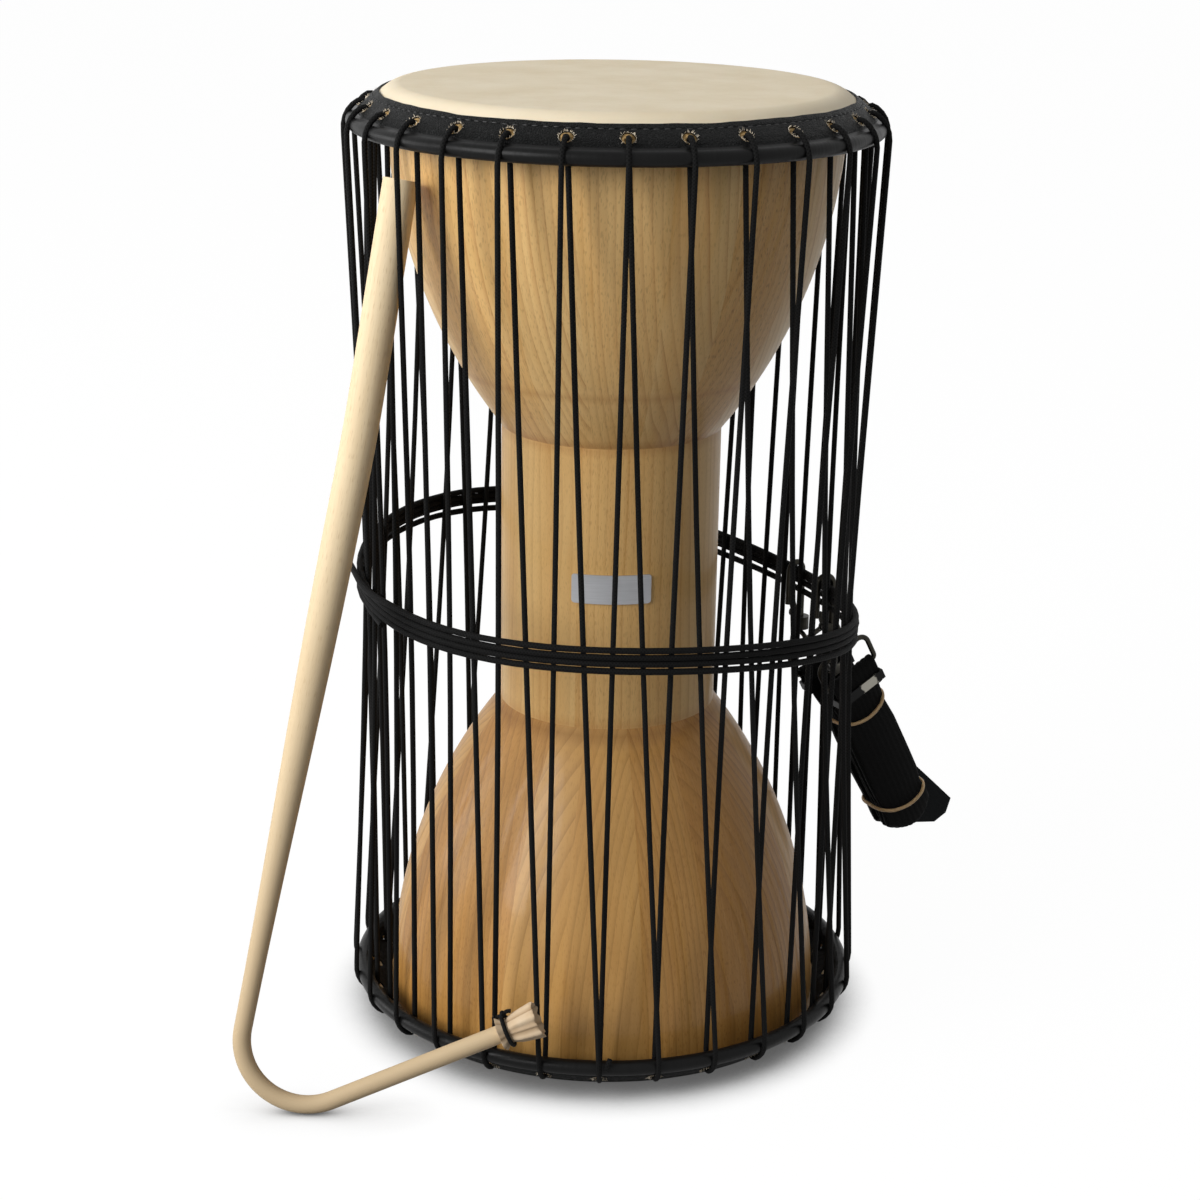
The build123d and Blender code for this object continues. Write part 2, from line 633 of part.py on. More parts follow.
def strap_webbing():
    """Webbing round both ring bars, folded to and fro between them."""
    outer = ring_offset() + WEB_BEND
    first = ring_offset() - WEB_BEND
    pitch = 2 * first / (WEB_RUNS - 1)
    fold = pitch / 2
    edges = [
        Line((outer, WEB_TAIL), (outer, 0)),
        ThreePointArc((outer, 0), (outer - WEB_BEND, -WEB_BEND), (first, 0)),
    ]
    spot = first
    height = 0
    for index in range(WEB_RUNS - 1):
        down = index % 2 == 0
        turn = WEB_FOLD_END - fold if down else WEB_FOLD_TOP + fold
        tip = turn + fold if down else turn - fold
        edges.append(Line((spot, height), (spot, turn)))
        edges.append(ThreePointArc((spot, turn), (spot - fold, tip), (spot - pitch, turn)))
        spot -= pitch
        height = turn
    edges += [
        Line((spot, height), (spot, 0)),
        ThreePointArc((-first, 0), (WEB_BEND - outer, -WEB_BEND), (-outer, 0)),
        Line((-outer, 0), (-outer, WEB_TAIL)),
    ]
    path = Wire(edges)
    start = Plane(origin=path @ 0, x_dir=(1, 0, 0), z_dir=path % 0)
    ribbon = sweep(start * Rectangle(WEB_THICKNESS, WEB_WIDTH), path=path)
    print(f"strap_webbing: run to run gap {pitch - WEB_THICKNESS:.2f} mm, length {path.length:.1f} mm")
    return layer_frame() * ribbon


def strap_keeper(side):
    """Metal sleeve that holds the doubled webbing below a ring."""
    thick = 2 * WEB_BEND + WEB_THICKNESS + 2 * KEEPER_GAP
    wide = WEB_WIDTH + 2 * KEEPER_GAP
    wall = 2 * KEEPER_WALL
    shell = Box(thick + wall, KEEPER_LENGTH, wide + wall) - Box(thick, KEEPER_LENGTH, wide)
    return layer_frame() * Pos(side * ring_offset(), KEEPER_DROP + KEEPER_LENGTH / 2, 0) * shell


def rubber_deep():
    """Rubber bands' middle line from the middle of the hank, through its layers."""
    return ring_offset() - WEB_BEND + WEB_THICKNESS / 2 + RUBBER_GAP + RUBBER_D / 2


def rubber_band(height):
    deep = rubber_deep()
    wide = WEB_WIDTH / 2 + RUBBER_GAP + RUBBER_D / 2
    loop = FilletPolyline(
        (-deep, height, -wide), (deep, height, -wide), (deep, height, wide), (-deep, height, wide),
        radius=RUBBER_INNER_R + RUBBER_D / 2, close=True,
    )
    return layer_frame() * tube(loop, RUBBER_D)


def strap_flap():
    """Loose end of the webbing, leaning out behind the hank and its lower rubber band."""
    half = WEB_WIDTH / 2
    slope = tan(radians(FLAP_LEAN))
    lean = FLAP_LENGTH * slope
    low = FLAP_DROP + FLAP_LENGTH
    outline = Polyline(
        (FLAP_DROP, -half), (FLAP_DROP, half), (low - FLAP_CLIP, half + lean - FLAP_CLIP * slope),
        (low, half + lean - FLAP_CLIP), (low, lean - half), close=True,
    )
    place = -rubber_deep() - RUBBER_D / 2 - RUBBER_GAP - WEB_THICKNESS / 2
    sheet = Plane(origin=(place, 0, 0), x_dir=(0, 1, 0), z_dir=(1, 0, 0)) * make_face(outline)
    return layer_frame() * extrude(sheet, amount=WEB_THICKNESS / 2, both=True)


def save(name, part):
    export_step(part, f"parts/{name}.step")


os.makedirs("parts", exist_ok=True)

bowl = lower_bowl()
save("lower_bowl", bowl)
save("upper_bowl", flipped(bowl))
save("waist_tube", waist_tube())
save("badge_plate", badge_plate())

save("bottom_skin", lower_skin(BOTTOM_PHASE))
save("top_skin", flipped(lower_skin(TOP_PHASE)))
save("bottom_band", lower_band(BOTTOM_PHASE))
save("top_band", flipped(lower_band(TOP_PHASE)))
save("bottom_hoop", lower_hoop())
save("top_hoop", flipped(lower_hoop()))

lacing = lacing_path()
lacing_cord = tube(lacing, LACE_D)
report_tube("tension_cord", lacing_cord, lacing, LACE_D)
print(f"tension_cord: bends {HOLE_BEND:.1f} at a hole, {HOOP_BEND:.1f} over a hoop, "
      f"{WAIST_BEND:.0f} at the waist")
save("tension_cord", lacing_cord)

winding = winding_path()
winding_cord = tube(winding, WIND_D)
report_tube("waist_cord", winding_cord, winding, WIND_D)
print(f"waist_cord: radius {WIND_R:.1f}, least gap to itself {self_gap(winding, WIND_D, WIND_D):.2f} mm")
save("waist_cord", winding_cord)

stick = stick_path()
save("beater_stick", beater_stick(stick))
save("beater_tip", beater_tip(stick))
tie = tie_path(stick)
tie_cord = tube(tie, TIE_D)
report_tube("beater_tie", tie_cord, tie, TIE_D)
print(f"beater_tie: least gap to itself {self_gap(tie, TIE_D, TIE_D / 2):.2f} mm")
save("beater_tie", tie_cord)

for side, (name, slot) in zip((1, -1), zip("ab", HOOK_SLOTS)):
    save(f"hook_{name}", hook_body(slot))
    save(f"hook_{name}_gate", hook_gate(slot))
    save(f"hook_{name}_gate_pin", gate_pin(slot))
    save(f"hook_{name}_swivel", hook_swivel(slot))
    save(f"hook_{name}_ring", strap_ring(side))
    save(f"strap_keeper_{name}", strap_keeper(side))
save("strap_webbing", strap_webbing())
save("strap_flap", strap_flap())
save("rubber_band_upper", rubber_band(RUBBER_UPPER))
save("rubber_band_lower", rubber_band(RUBBER_LOWER))
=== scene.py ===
# A talking drum with its carrying strap and its beater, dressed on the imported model.
# Metres, +Z up. The drum stands on its lower head, and the front is -Y.
import json
import math
import random

import bmesh
import bpy
from mathutils import Matrix, Vector


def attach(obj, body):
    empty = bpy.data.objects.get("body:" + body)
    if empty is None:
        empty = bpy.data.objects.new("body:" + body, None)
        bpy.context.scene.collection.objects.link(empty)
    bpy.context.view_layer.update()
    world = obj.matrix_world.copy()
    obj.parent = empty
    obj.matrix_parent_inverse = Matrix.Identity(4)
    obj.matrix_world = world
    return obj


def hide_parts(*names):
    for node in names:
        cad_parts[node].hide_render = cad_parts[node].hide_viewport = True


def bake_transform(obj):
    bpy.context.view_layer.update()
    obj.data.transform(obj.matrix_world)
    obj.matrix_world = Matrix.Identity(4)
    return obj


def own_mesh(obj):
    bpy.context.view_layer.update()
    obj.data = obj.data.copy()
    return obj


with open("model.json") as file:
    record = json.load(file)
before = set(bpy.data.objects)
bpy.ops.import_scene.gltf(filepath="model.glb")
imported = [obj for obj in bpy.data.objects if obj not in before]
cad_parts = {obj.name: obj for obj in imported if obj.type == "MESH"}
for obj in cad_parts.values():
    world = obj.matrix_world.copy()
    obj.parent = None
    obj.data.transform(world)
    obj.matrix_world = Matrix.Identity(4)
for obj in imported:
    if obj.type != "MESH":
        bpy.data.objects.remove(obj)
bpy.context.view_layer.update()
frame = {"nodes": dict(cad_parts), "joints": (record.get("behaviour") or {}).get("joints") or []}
nodes = frame["nodes"]

# Shell: two bowls and a waist tube, turned on a lathe from boards of pine glued side by side.
# The boards stand on end, so the grain fans out over the bowls and runs straight up the waist.
# The three pieces are glued at spigots and finished together in clear lacquer.
drum_height = 0.440


def linear(code):
    """An sRGB hex colour as linear RGBA."""
    channels = [int(code[i:i + 2], 16) / 255 for i in (1, 3, 5)]
    return [c / 12.92 if c <= 0.04045 else ((c + 0.055) / 1.055) ** 2.4 for c in channels] + [1.0]


def wire(node, links):
    """A node's inputs set to values, or linked from sockets or from the first live output of nodes."""
    for key, value in links.items():
        if isinstance(value, bpy.types.Node):
            value = next(socket for socket in value.outputs if socket.enabled)
        if isinstance(value, bpy.types.NodeSocket):
            node.id_data.links.new(value, node.inputs[key])
        else:
            node.inputs[key].default_value = value


def add(tree, kind, links=None, **settings):
    """A new shader node with its settings and its inputs."""
    node = tree.nodes.new("ShaderNode" + kind)
    for key, value in settings.items():
        setattr(node, key, value)
    wire(node, links or {})
    return node


def finish(name, links):
    """A new material, its node tree and its shader, with the shader's own values set."""
    material = bpy.data.materials.new(name)
    material.use_nodes = True
    shader = material.node_tree.nodes["Principled BSDF"]
    wire(shader, links)
    return material, material.node_tree, shader


def lacquered_pine(name, boards, seed, pale, deep, line, contrast, stains):
    """Turned pine under clear gloss lacquer: boards of uneven tone, growth lines at each board's own slant,
    fine fibres, short dark flecks, and a faint stain where glue or the lathe's rest left a ring."""
    material, tree, shader = finish(name, {
        "Roughness": 0.45, "IOR": 1.5, "Specular IOR Level": 0.3,
        "Coat Weight": 0.15, "Coat Roughness": 0.10, "Coat IOR": 1.5,
    })
    axes = add(tree, "SeparateXYZ", {0: add(tree, "TexCoord").outputs["Object"]})
    front = add(tree, "Math", {0: axes.outputs[1], 1: -1.0}, operation="MULTIPLY")
    angle = add(tree, "Math", {0: axes.outputs[0], 1: front}, operation="ARCTAN2")
    across = add(tree, "Math", {0: angle, 1: boards / math.tau, 2: 0.37 * seed}, operation="MULTIPLY_ADD")
    edge_way = add(tree, "TexNoise", {"W": across, "Scale": 1.7, "Detail": 0.0}, noise_dimensions="1D")
    uneven = add(tree, "Math", {0: edge_way, 1: 0.9, 2: across}, operation="MULTIPLY_ADD")
    board = add(tree, "Math", {0: uneven}, operation="FLOOR")
    pick = add(tree, "Math", {0: board, 1: 7.31 * seed}, operation="ADD")
    tone = add(tree, "TexWhiteNoise", {"W": pick}, noise_dimensions="1D")
    parts = add(tree, "SeparateColor", {0: tone.outputs["Color"]})
    # Each board's growth rings are flat sheets in it, upright and turned by up to 50 degrees from its face.
    from_board = add(tree, "Math", {0: across, 1: board}, operation="SUBTRACT")
    turn_in = add(tree, "Math", {0: from_board, 1: math.tau / boards}, operation="MULTIPLY")
    slant = add(tree, "MapRange", {0: parts.outputs[0], 1: 0.0, 2: 1.0, 3: -0.87, 4: 0.87})
    swung = add(tree, "Math", {0: turn_in, 1: slant}, operation="SUBTRACT")
    sine = add(tree, "Math", {0: swung}, operation="SINE")
    flat = add(tree, "CombineXYZ", {0: axes.outputs[0], 1: axes.outputs[1]})
    radius = add(tree, "VectorMath", {0: flat}, operation="LENGTH")
    sheet = add(tree, "Math", {0: sine, 1: radius}, operation="MULTIPLY")
    arc = add(tree, "Math", {0: angle, 1: 0.1, 2: tone}, operation="MULTIPLY_ADD")
    slow = add(tree, "Math", {0: axes.outputs[2], 1: 0.22}, operation="MULTIPLY")
    along = add(tree, "CombineXYZ", {0: arc, 1: slow, 2: tone})
    sway = add(tree, "TexNoise", {"Vector": along, "Scale": 30.0, "Detail": 1.5})
    bent = add(tree, "Math", {0: sway, 1: 0.010, 2: sheet}, operation="MULTIPLY_ADD")
    # Growth lines 3 to 6 mm apart, with a sharp dark side as in late wood, some of them nearly gone.
    spacing = add(tree, "MapRange", {0: parts.outputs[1], 1: 0.0, 2: 1.0, 3: 170.0, 4: 310.0})
    lines = add(tree, "Math", {0: bent, 1: spacing}, operation="MULTIPLY")
    growth = add(tree, "Math", {0: lines}, operation="FRACT")
    late = add(tree, "Math", {0: growth, 1: 3.4}, operation="POWER")
    years = add(tree, "TexNoise", {"W": lines, "Scale": 0.8, "Detail": 2.0}, noise_dimensions="1D")
    vigour = add(tree, "MapRange", {0: years, 1: 0.35, 2: 0.65, 3: 0.3, 4: 1.0})
    depth = add(tree, "MapRange", {0: parts.outputs[2], 1: 0.0, 2: 1.0, 3: 0.45 * contrast, 4: contrast})
    strong = add(tree, "Math", {0: vigour, 1: depth}, operation="MULTIPLY")
    streak = add(tree, "Math", {0: late, 1: strong}, operation="MULTIPLY")
    fine = add(tree, "VectorMath", {0: along, 1: (16.0, 3.0, 1.0)}, operation="MULTIPLY")
    fibre = add(tree, "TexNoise", {"Vector": fine, "Scale": 60.0, "Detail": 3.0, "Roughness": 0.65})
    cloud = add(tree, "TexNoise", {"Vector": along, "Scale": 42.0, "Detail": 2.0})
    # Flecks about 0.4 by 2 mm, the resin ducts of pine, thick on some boards and scarce on others.
    stretched = add(tree, "CombineXYZ", {0: arc, 1: axes.outputs[2], 2: tone})
    dashes = add(tree, "VectorMath", {0: stretched, 1: (1900.0, 420.0, 1.0)}, operation="MULTIPLY")
    duct = add(tree, "TexNoise", {"Vector": dashes, "Scale": 1.0, "Detail": 0.0})
    share = add(tree, "MapRange", {0: tone, 1: 0.0, 2: 1.0, 3: 0.15, 4: 0.6})
    spot = add(tree, "MapRange", {0: duct, 1: 0.60, 2: 0.74, 3: 0.0, 4: 1.0})
    fleck = add(tree, "Math", {0: spot, 1: share}, operation="MULTIPLY")
    base = add(tree, "Mix", {0: tone, 6: linear(pale), 7: linear(deep)}, data_type="RGBA")
    cloudy = add(tree, "MapRange", {0: cloud, 1: 0.42, 2: 0.72, 3: 0.0, 4: 0.7})
    warm = add(tree, "Mix", {0: cloudy, 6: base, 7: linear(deep)}, data_type="RGBA")
    fibres = add(tree, "MapRange", {0: fibre, 1: 0.35, 2: 0.7, 3: 0.0, 4: 0.4})
    fibred = add(tree, "Mix", {0: fibres, 6: warm, 7: linear(pale)}, data_type="RGBA")
    ringed = add(tree, "Mix", {0: streak, 6: fibred, 7: linear(line)}, data_type="RGBA")
    surface = add(tree, "Mix", {0: fleck, 6: ringed, 7: linear("#94632e")}, data_type="RGBA")
    for level, reach, amount in stains:
        off = add(tree, "Math", {0: axes.outputs[2], 1: level}, operation="SUBTRACT")
        far = add(tree, "Math", {0: off}, operation="ABSOLUTE")
        stain = add(tree, "MapRange", {0: far, 1: 0.0, 2: reach, 3: amount, 4: 0.0})
        surface = add(tree, "Mix", {0: stain, 6: surface, 7: linear(line)}, data_type="RGBA")
    ripple = add(tree, "Bump", {"Height": late, "Strength": 0.05, "Distance": 0.0004})
    wire(shader, {"Base Color": surface, "Normal": ripple})
    return material


# The lower bowl's boards are darker, partly as painted shade for the light falling off towards the floor, and
# more strongly lined than the rest.
shell = {
    "lower_bowl": (17, 3.0, "#ca9d5c", "#af7b39", "#714312", 0.95, ((0.151, 0.005, 0.35),)),
    "waist_tube": (6, 5.0, "#dfba7b", "#cd9a55", "#a86e2e", 0.6, ((0.155, 0.005, 0.3), (0.285, 0.004, 0.3))),
    "upper_bowl": (17, 8.0, "#e9c688", "#d6a158", "#a8662a", 0.7, ((0.287, 0.004, 0.4), (0.313, 0.003, 0.3))),
}
for shell_name, wood in shell.items():
    nodes[shell_name].material_slots[0].material = lacquered_pine("lacquered pine " + shell_name, *wood)

# Badge: a thin plate of aluminium, curved to the waist and stuck on.
# Its face is brushed along its length under a clear satin varnish, and left bare.
badge_metal, tree, shader = finish("brushed aluminium", {"Metallic": 0.55, "Roughness": 0.45})
place = add(tree, "TexCoord").outputs["Object"]
brushed = add(tree, "Mapping", {0: place, 3: (60.0, 60.0, 2600.0)})
scratch = add(tree, "TexNoise", {"Vector": brushed, "Scale": 1.0, "Detail": 2.0})
silver = add(tree, "Mix", {0: scratch, 6: linear("#9fa0a3"), 7: linear("#c0c1c4")}, data_type="RGBA")
rough = add(tree, "MapRange", {0: scratch, 1: 0.3, 2: 0.7, 3: 0.36, 4: 0.54})
wire(shader, {"Base Color": silver, "Roughness": rough})
nodes["badge_plate"].material_slots[0].material = badge_metal

# Heads: a shaved goatskin over each rim, pulled down to the hoop with its edge under the band.
# It is dry and matt, cream with a faint mottle, and a little greyer over the rim.
rim_r = 0.0977
rim_round = 0.006
skin_round = 0.012
slope = math.radians(38.59)
hole_count = 28
hole_r = 0.1122
# Heights over the slope's core of the band's face and of the middle of skin and band at a hole.
band_over, hole_over = 0.0071, 0.0063
hole_phase = {"top": 1.0, "bottom": -1.6}


def on_slope(along, over):
    """Radius and depth under the head's face, from the way down the slope and the height over its core."""
    radius = rim_r + over * math.sin(slope) + along * math.cos(slope)
    return radius, rim_round - over * math.cos(slope) + along * math.sin(slope)


def height(end, depth):
    """Height over the floor of a depth under the upper or the lower head."""
    return drum_height - depth if end == "top" else depth


def round_drum(radius, angle, z):
    """A point at a radius and at an angle in degrees from the front, positive to the right."""
    return Vector((radius * math.sin(math.radians(angle)), -radius * math.cos(math.radians(angle)), z))


def turned(profile, steps, closed):
    """A bmesh spun once round the drum's axis from points of radius and height."""
    form = bmesh.new()
    spots = [form.verts.new((0.0, -r, z)) for r, z in profile]
    pairs = list(zip(spots, spots[1:])) + ([(spots[-1], spots[0])] if closed else [])
    edges = [form.edges.new(pair) for pair in pairs]
    bmesh.ops.spin(
        form, geom=spots + edges, axis=(0, 0, 1), cent=(0, 0, 0), angle=math.tau, steps=steps, use_merge=True,
    )
    bmesh.ops.remove_doubles(form, verts=form.verts, dist=1e-6)
    bmesh.ops.recalc_face_normals(form, faces=form.faces)
    return form


def piece(name, form, material, crease=40.0):
    """A mesh object at the origin from a bmesh, shaded smooth up to the crease angle."""
    mesh = bpy.data.meshes.new(name)
    form.to_mesh(mesh)
    form.free()
    mesh.shade_smooth()
    mesh.set_sharp_from_angle(angle=math.radians(crease))
    mesh.materials.append(material)
    made = bpy.data.objects.new(name, mesh)
    bpy.context.scene.collection.objects.link(made)
    return made


def shaped(made):
    """A new mesh of an object's shape, from its curve or its modifiers."""
    return bpy.data.meshes.new_from_object(made.evaluated_get(bpy.context.evaluated_depsgraph_get()))


def settle(made):
    """The piece's modifiers made part of its mesh."""
    mesh = shaped(made)
    made.modifiers.clear()
    made.data = mesh


def hole_frame(end, index, over):
    """Matrix at a lacing hole, with its Z out of the slope."""
    along = (hole_r - rim_r - band_over * math.sin(slope)) / math.cos(slope)
    angle = hole_phase[end] + index * 360 / hole_count
    radius, depth = on_slope(along, over)
    way = round_drum(math.sin(slope), angle, math.cos(slope) if end == "top" else -math.cos(slope))
    turn = way.to_track_quat("Z", "Y").to_matrix().to_4x4()
    return Matrix.Translation(round_drum(radius, angle, height(end, depth))) @ turn


def punch(made, end, radius):
    """The lacing holes cut through a piece."""
    form = bmesh.new()
    for index in range(hole_count):
        bmesh.ops.create_cone(
            form, cap_ends=True, segments=16, radius1=radius, radius2=radius, depth=0.006,
            matrix=hole_frame(end, index, hole_over),
        )
    cutter = piece("cutter", form, made.data.materials[0])
    cut = made.modifiers.new("holes", "BOOLEAN")
    cut.operation = "DIFFERENCE"
    cut.object = cutter
    settle(made)
    bpy.data.objects.remove(cutter)


goatskin, tree, shader = finish("shaved goatskin", {
    "Roughness": 0.62, "IOR": 1.45, "Subsurface Weight": 0.06, "Subsurface Radius": (0.004, 0.002, 0.001),
})
place = add(tree, "TexCoord").outputs["Object"]
blotch = add(tree, "TexNoise", {"Vector": place, "Scale": 38.0, "Detail": 4.0, "Roughness": 0.6})
pores = add(tree, "TexVoronoi", {"Vector": place, "Scale": 420.0})
grain = add(tree, "TexNoise", {"Vector": place, "Scale": 900.0, "Detail": 2.0})
mottle = add(tree, "MapRange", {0: blotch, 1: 0.3, 2: 0.72, 3: 0.0, 4: 1.0})
cream = add(tree, "Mix", {0: mottle, 6: linear("#f6e8cc"), 7: linear("#ebdab8")}, data_type="RGBA")
pore = add(tree, "MapRange", {0: pores, 1: 0.0, 2: 0.28, 3: 0.18, 4: 0.0})
spotted = add(tree, "Mix", {0: pore, 6: cream, 7: linear("#cdbb98")}, data_type="RGBA")
flat = add(tree, "VectorMath", {0: place, 1: (1.0, 1.0, 0.0)}, operation="MULTIPLY")
reach = add(tree, "VectorMath", {0: flat}, operation="LENGTH")
rim = add(tree, "MapRange", {0: reach, 1: 0.0930, 2: 0.1030, 3: 0.0, 4: 0.6})
stretched = add(tree, "Mix", {0: rim, 6: spotted, 7: linear("#e6d8bd")}, data_type="RGBA")
leathery = add(tree, "Bump", {"Height": grain, "Strength": 0.18, "Distance": 0.0003})
wire(shader, {"Base Color": stretched, "Normal": leathery})

for end in ("top", "bottom"):
    # The dry skin bridges the rim in a wider curve than the rim's own.
    bearing = rim_r + (rim_round - skin_round) * math.tan(slope / 2)
    profile = [(0.0, 0.0), (0.03, 0.0), (0.06, 0.0), (0.085, 0.0), (bearing, 0.0)]
    for step in range(1, 13):
        lean = slope * step / 12
        profile.append((bearing + skin_round * math.sin(lean), skin_round * (1 - math.cos(lean))))
    profile += [on_slope(along, rim_round) for along in (0.005, 0.009, 0.013, 0.0177)]
    head = piece(end + "_head", turned([(r, height(end, d)) for r, d in profile], 168, False), goatskin, 60.0)
    wall = head.modifiers.new("thickness", "SOLIDIFY")
    wall.thickness = 0.0009
    wall.offset = -1.0
    settle(head)
    punch(head, end, 0.0025)
    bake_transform(head)
    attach(head, "drum")
    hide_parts(end + "_skin")

# Hoops and bands: a steel wire hoop at each head, with a strip of black leather folded over it.
# The strip is sewn through the skin with black thread and punched for the lacing.
# Each hole shows the torn tan edge of the hide inside it, with some pale fibres.
hoop_r = 0.1167
hoop_depth = 0.0163
roll_r = 0.0035

band_leather, tree, shader = finish("black cowhide strip", {"IOR": 1.45, "Specular IOR Level": 0.16})
place = add(tree, "TexCoord").outputs["Object"]
# Grain of about 1.2 mm, coarser than real cowhide so that it shows.
cells = add(tree, "TexVoronoi", {"Vector": place, "Scale": 820.0}, feature="DISTANCE_TO_EDGE")
creases = add(tree, "TexNoise", {"Vector": place, "Scale": 320.0, "Detail": 4.0})
crease = add(tree, "Math", {0: creases, 1: 0.9}, operation="MULTIPLY")
relief = add(tree, "MapRange", {0: cells, 1: 0.0, 2: 0.2, 3: 0.0, 4: 1.0})
hide = add(tree, "Math", {0: relief, 1: crease}, operation="ADD")
pebbled = add(tree, "Bump", {"Height": hide, "Strength": 0.9, "Distance": 0.0006})
dust = add(tree, "TexNoise", {"Vector": place, "Scale": 240.0, "Detail": 5.0, "Roughness": 0.7})
dusty = add(tree, "MapRange", {0: dust, 1: 0.5, 2: 0.8, 3: 0.0, 4: 0.6})
black = add(tree, "Mix", {0: dusty, 6: linear("#050606"), 7: linear("#1e1f1f")}, data_type="RGBA")
worn = add(tree, "MapRange", {0: dust, 1: 0.3, 2: 0.7, 3: 0.42, 4: 0.62})
wire(shader, {"Base Color": black, "Roughness": worn, "Normal": pebbled})

# Over the hoop the strip is stretched smooth, with a satin shine and faint wrinkles across, their troughs
# darkened as painted shade.
roll_leather, tree, shader = finish("stretched black cowhide", {"IOR": 1.45, "Specular IOR Level": 0.15})
axes = add(tree, "SeparateXYZ", {0: add(tree, "TexCoord").outputs["Object"]})
front = add(tree, "Math", {0: axes.outputs[1], 1: -1.0}, operation="MULTIPLY")
angle = add(tree, "Math", {0: axes.outputs[0], 1: front}, operation="ARCTAN2")
arc = add(tree, "Math", {0: angle, 1: hoop_r}, operation="MULTIPLY")
laid = add(tree, "CombineXYZ", {0: arc, 1: axes.outputs[2]})
# Wrinkles about 1.5 mm apart.
stretch_way = add(tree, "VectorMath", {0: laid, 1: (700.0, 90.0, 1.0)}, operation="MULTIPLY")
wrinkle = add(tree, "TexNoise", {"Vector": stretch_way, "Scale": 1.0, "Detail": 3.0})
# The wrinkles' troughs are darker as painted shade.
wrinkle_shaded = add(tree, "Mix", {0: wrinkle, 6: linear("#060606"), 7: linear("#121212")}, data_type="RGBA")
sheen = add(tree, "MapRange", {0: wrinkle, 1: 0.3, 2: 0.7, 3: 0.3, 4: 0.42})
drawn = add(tree, "Bump", {"Height": wrinkle, "Strength": 0.25, "Distance": 0.0004})
wire(shader, {"Base Color": wrinkle_shaded, "Roughness": sheen, "Normal": drawn})

# The hoop's enamel is black, with a faint ripple.
hoop_paint, tree, shader = finish("black enamelled steel", {"Roughness": 0.3})
speck = add(tree, "TexNoise", {"Vector": add(tree, "TexCoord").outputs["Object"], "Scale": 700.0})
orange_peel = add(tree, "Bump", {"Height": speck, "Strength": 0.1, "Distance": 0.0002})
wire(shader, {"Base Color": linear("#141414"), "Normal": orange_peel})

# The thread is black with uneven plies, and hardly stands out from the leather.
thread, tree, shader = finish("waxed black thread", {"Roughness": 0.5})
ply = add(tree, "TexNoise", {"Vector": add(tree, "TexCoord").outputs["Object"], "Scale": 2600.0})
dark = add(tree, "Mix", {0: ply, 6: linear("#0c0c0c"), 7: linear("#1f1f1f")}, data_type="RGBA")
wire(shader, {"Base Color": dark})

# The torn hide is tan and dull, in paler and browner shreds.
torn_hide, tree, shader = finish("torn goat hide", {"Roughness": 0.8, "IOR": 1.45})
place = add(tree, "TexCoord").outputs["Object"]
shreds = add(tree, "TexNoise", {"Vector": place, "Scale": 900.0, "Detail": 3.0})
shred = add(tree, "MapRange", {0: shreds, 1: 0.32, 2: 0.68, 3: 0.0, 4: 1.0})
tan = add(tree, "Mix", {0: shred, 6: linear("#8d6a38"), 7: linear("#d2b27a")}, data_type="RGBA")
rag = add(tree, "Bump", {"Height": shreds, "Strength": 0.6, "Distance": 0.0004})
wire(shader, {"Base Color": tan, "Normal": rag})

# The hairs are pale flecks against the dark hole.
fluff, tree, shader = finish("goat hair", {"Roughness": 0.9})
strand = add(tree, "TexNoise", {"Vector": add(tree, "TexCoord").outputs["Object"], "Scale": 1200.0})
hair = add(tree, "Mix", {0: strand, 6: linear("#cdb894"), 7: linear("#f0e9dc")}, data_type="RGBA")
wire(shader, {"Base Color": hair})

